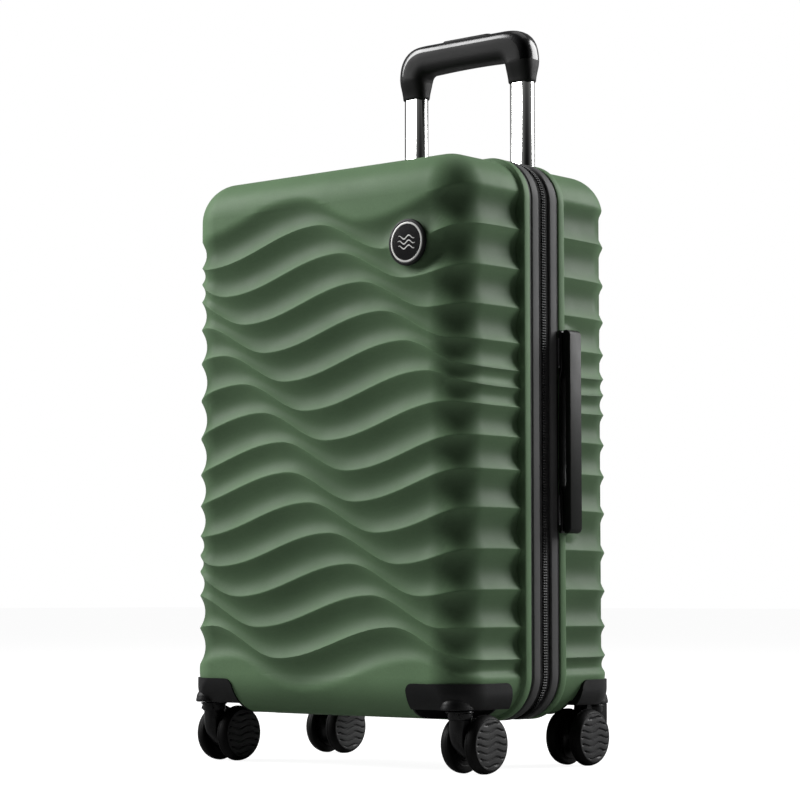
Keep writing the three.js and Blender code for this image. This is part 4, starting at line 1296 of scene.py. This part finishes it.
strapLow, strapHigh = boxOf("strap_left")
strapZ = (strapLow[2] + strapHigh[2]) / 2
for side, sx in (("left", -1), ("right", 1)):
    low, high = boxOf("strap_" + side)
    run = high[0] - low[0]
    rings = []
    for i in range(41):
        x = low[0] + 0.2 + (run - 0.4) * i / 40
        sag = 0.35 * math.sin(i * 0.55) * math.sin(math.pi * i / 40)
        thin = [(a, b * (0.82 + 0.18 * math.cos(a / 19 * 1.4))) for a, b in rounded(38, 1.3, 0.6, 3)]
        rings.append([(x, 16.0 + sag + b, strapZ + a) for a, b in thin])
    finished(looseObject("strap" + side.title(), [loft(rings)]), webbing, "rear_case", (f"strap_{side}",), 40)
    outer, inner = sx * 154, sx * 128
    seamTurns = ((outer, -15), (inner, -15), (inner, 15), (outer, 15), (outer, -15), (inner, 15))
    boxPath = [(x, 15.3, strapZ + z) for x, z in seamTurns]
    edges = [[(low[0] + 3 + (run - 6) * i / 30, 15.33, strapZ + e) for i in range(31)] for e in (-16.6, 16.6)]
    barsAlong("strapStitches" + side.title(), [boxPath] + edges, barSizes(0.0036, 0.00026, 0.0026, 6), stitchThread,
              "rear_case")
# socket, plug, three prongs and four grip ribs: middle x and z, outline, depths, soft edge
buckleParts = [
    (9, 0, (36, 46, 7, 8), 12.9, 19.2, 1.9, 5), (-19, 0, (16, 46, 4, 8), 13.4, 18.6, 1.7, 5),
    (-8, 14.5, (14, 7.4, 3, 6), 14.2, 17.8, 1.2, 4), (-8, -14.5, (14, 7.4, 3, 6), 14.2, 17.8, 1.2, 4),
    (-8, 0, (14, 5, 2, 6), 14.6, 17.4, 1.0, 4),
] + [(3 + 5 * k, 0, (1.6, 30, 0.7, 4), 12.7, 13.3, 0.25, 2) for k in range(4)]
buckle = []
for x, z, shape, near, far, soft, steps in buckleParts:
    outline = [(x + a, z + b) for a, b in rounded(*shape)]
    buckle.append(pillow(outline, near, far, soft, lambda a, b, h: (a, h, strapZ + b), steps))
finished(looseObject("strapBuckle", buckle), handleBlack, "rear_case", ("strap_buckle",), 40)
print("interior")


# ---- zip sliders, pulls and the combination lock
def asDrawn(a, b, h):
    return a, b, h


for side, sx in (("left", -1), ("right", 1)):
    slider, name = f"zip_slider_{side}", "zipSlider" + side.title()
    low, high = boxOf(slider)
    cx, cy = (low[0] + high[0]) / 2, (low[1] + high[1]) / 2
    shape = [(-7, -5), (3, -5), (7, -3.2), (7, 3.2), (3, 5), (-7, 5), (-7, 1.2), (-4.6, 0), (-7, -1.2)]
    nose = [(cx + sx * a, cy + b) for a, b in softened(shape, 2)]
    if sx < 0:
        nose.reverse()
    body = pillow(nose, low[2], high[2] - 1.1, 0.8, asDrawn, 4)
    arch = [(cy + a, high[2] - 1.2 + b) for a, b in rounded(9, 2.4, 1.1, 6)]
    bridge = pillow(arch, cx - 1.5, cx + 1.5, 0.5, lambda a, b, h: (h, a, b), 3)
    finished(looseObject(name, [body, bridge]), gunmetal, slider, (slider,), 40)
    pull = f"zip_pull_{side}"
    low, high = boxOf(pull)
    cx, cy = (low[0] + high[0]) / 2, (low[1] + high[1]) / 2
    blade = softened([(-2.6, -15), (2.6, -15), (3.4, -8), (2.6, 2), (3.5, 9), (3.4, 15), (-3.4, 15), (-3.5, 9),
                      (-2.6, 2), (-3.4, -8)], 2)
    blade = pillow([(cx + a, cy + b) for a, b in blade], low[2], high[2], 0.55, asDrawn, 4)
    obj = looseObject("zipPull" + side.title(), [blade])
    eye = [(cx + a, cy + 9.5 + b) for a, b in rounded(3.2, 5.4, 1.5, 6)]
    cutWith(obj, looseObject("eye", [bar(eye, (low[2] - 3, high[2] + 3))]))
    finished(obj, gunmetal, pull, (pull,), 40)

refined("lock_body", "lockBody", handleBlack, "rear_case", 0.55, 3, 35)
refined("lock_latch", "lockLatch", gunmetal, "lock_latch", 0.6, 3, 30)
lockLow, lockHigh = boxOf("lock_body")
plate = [(-15 + a, (lockLow[1] + lockHigh[1]) / 2 + b) for a, b in rounded(30.5, 12.5, 2.2, 6)]
plate = pillow(plate, lockHigh[2] - 0.2, lockHigh[2] + 0.25, 0.12, asDrawn, 2)
plateObj = looseObject("lockPlate", [plate])
for dial in (1, 2, 3):
    low, high = boxOf(f"lock_dial_{dial}")
    centre = [(low[i] + high[i]) / 2 for i in range(3)]
    radius, half = (high[2] - low[2]) / 2, (high[0] - low[0]) / 2
    window = [(centre[0] + a, centre[1] + b) for a, b in rounded(2 * half + 0.7, 2 * radius + 0.7, 0.4, 3)]
    cutWith(plateObj, looseObject("window", [bar(window, (lockHigh[2] - 4, lockHigh[2] + 4))]))
    rings = []
    for along, shrink in ((-half, 0.7), (-half + 0.35, 0.15), (-half * 0.5, 0.0), (0.0, 0.0), (half * 0.5, 0.0),
                          (half - 0.35, 0.15), (half, 0.7)):
        ring = []
        for i in range(80):
            a = 2 * math.pi * i / 80
            r = radius - shrink - 0.38 * (i % 4 in (0, 1)) * (abs(along) < half)
            ring.append((centre[0] + along, centre[1] + r * math.cos(a), centre[2] + r * math.sin(a)))
        rings.append(ring)
    finished(looseObject(f"lockDial{dial}", [loft(rings)]), gunmetal, f"lock_dial_{dial}", (f"lock_dial_{dial}",), 30)
finished(plateObj, gunmetal, "rear_case", (), 40)
print("lock and sliders")


# ---- floor
floorReach = 40
floorMesh = bpy.data.meshes.new("floor")
corners = [(floorReach * x, floorReach * y, 0) for x, y in ((-1, -1), (1, -1), (1, 1), (-1, 1))]
floorMesh.from_pydata(corners, [], [(0, 1, 2, 3)])
floor = linked("floor", floorMesh)
floorFinish, floorTree, floorShader, floorPlace = newFinish("paleFloor", {"Roughness": 0.8, "Specular IOR Level": 0.05})
floorTint = rampNode(floorTree, noiseNode(floorTree, floorPlace, 3, 4), 0.3, 0.7, 0, 1)
link(floorTree, mixNode(floorTree, floorTint, (0.30, 0.30, 0.30), (0.32, 0.32, 0.32)), floorShader.inputs["Base Color"])
floorShader.inputs["Emission Color"].default_value = (1, 1, 1, 1)
seen = floorTree.nodes.new("ShaderNodeLightPath").outputs["Is Camera Ray"]
link(floorTree, mathNode(floorTree, "MULTIPLY", seen, 0.93), floorShader.inputs["Emission Strength"])
floorMesh.materials.append(floorFinish)
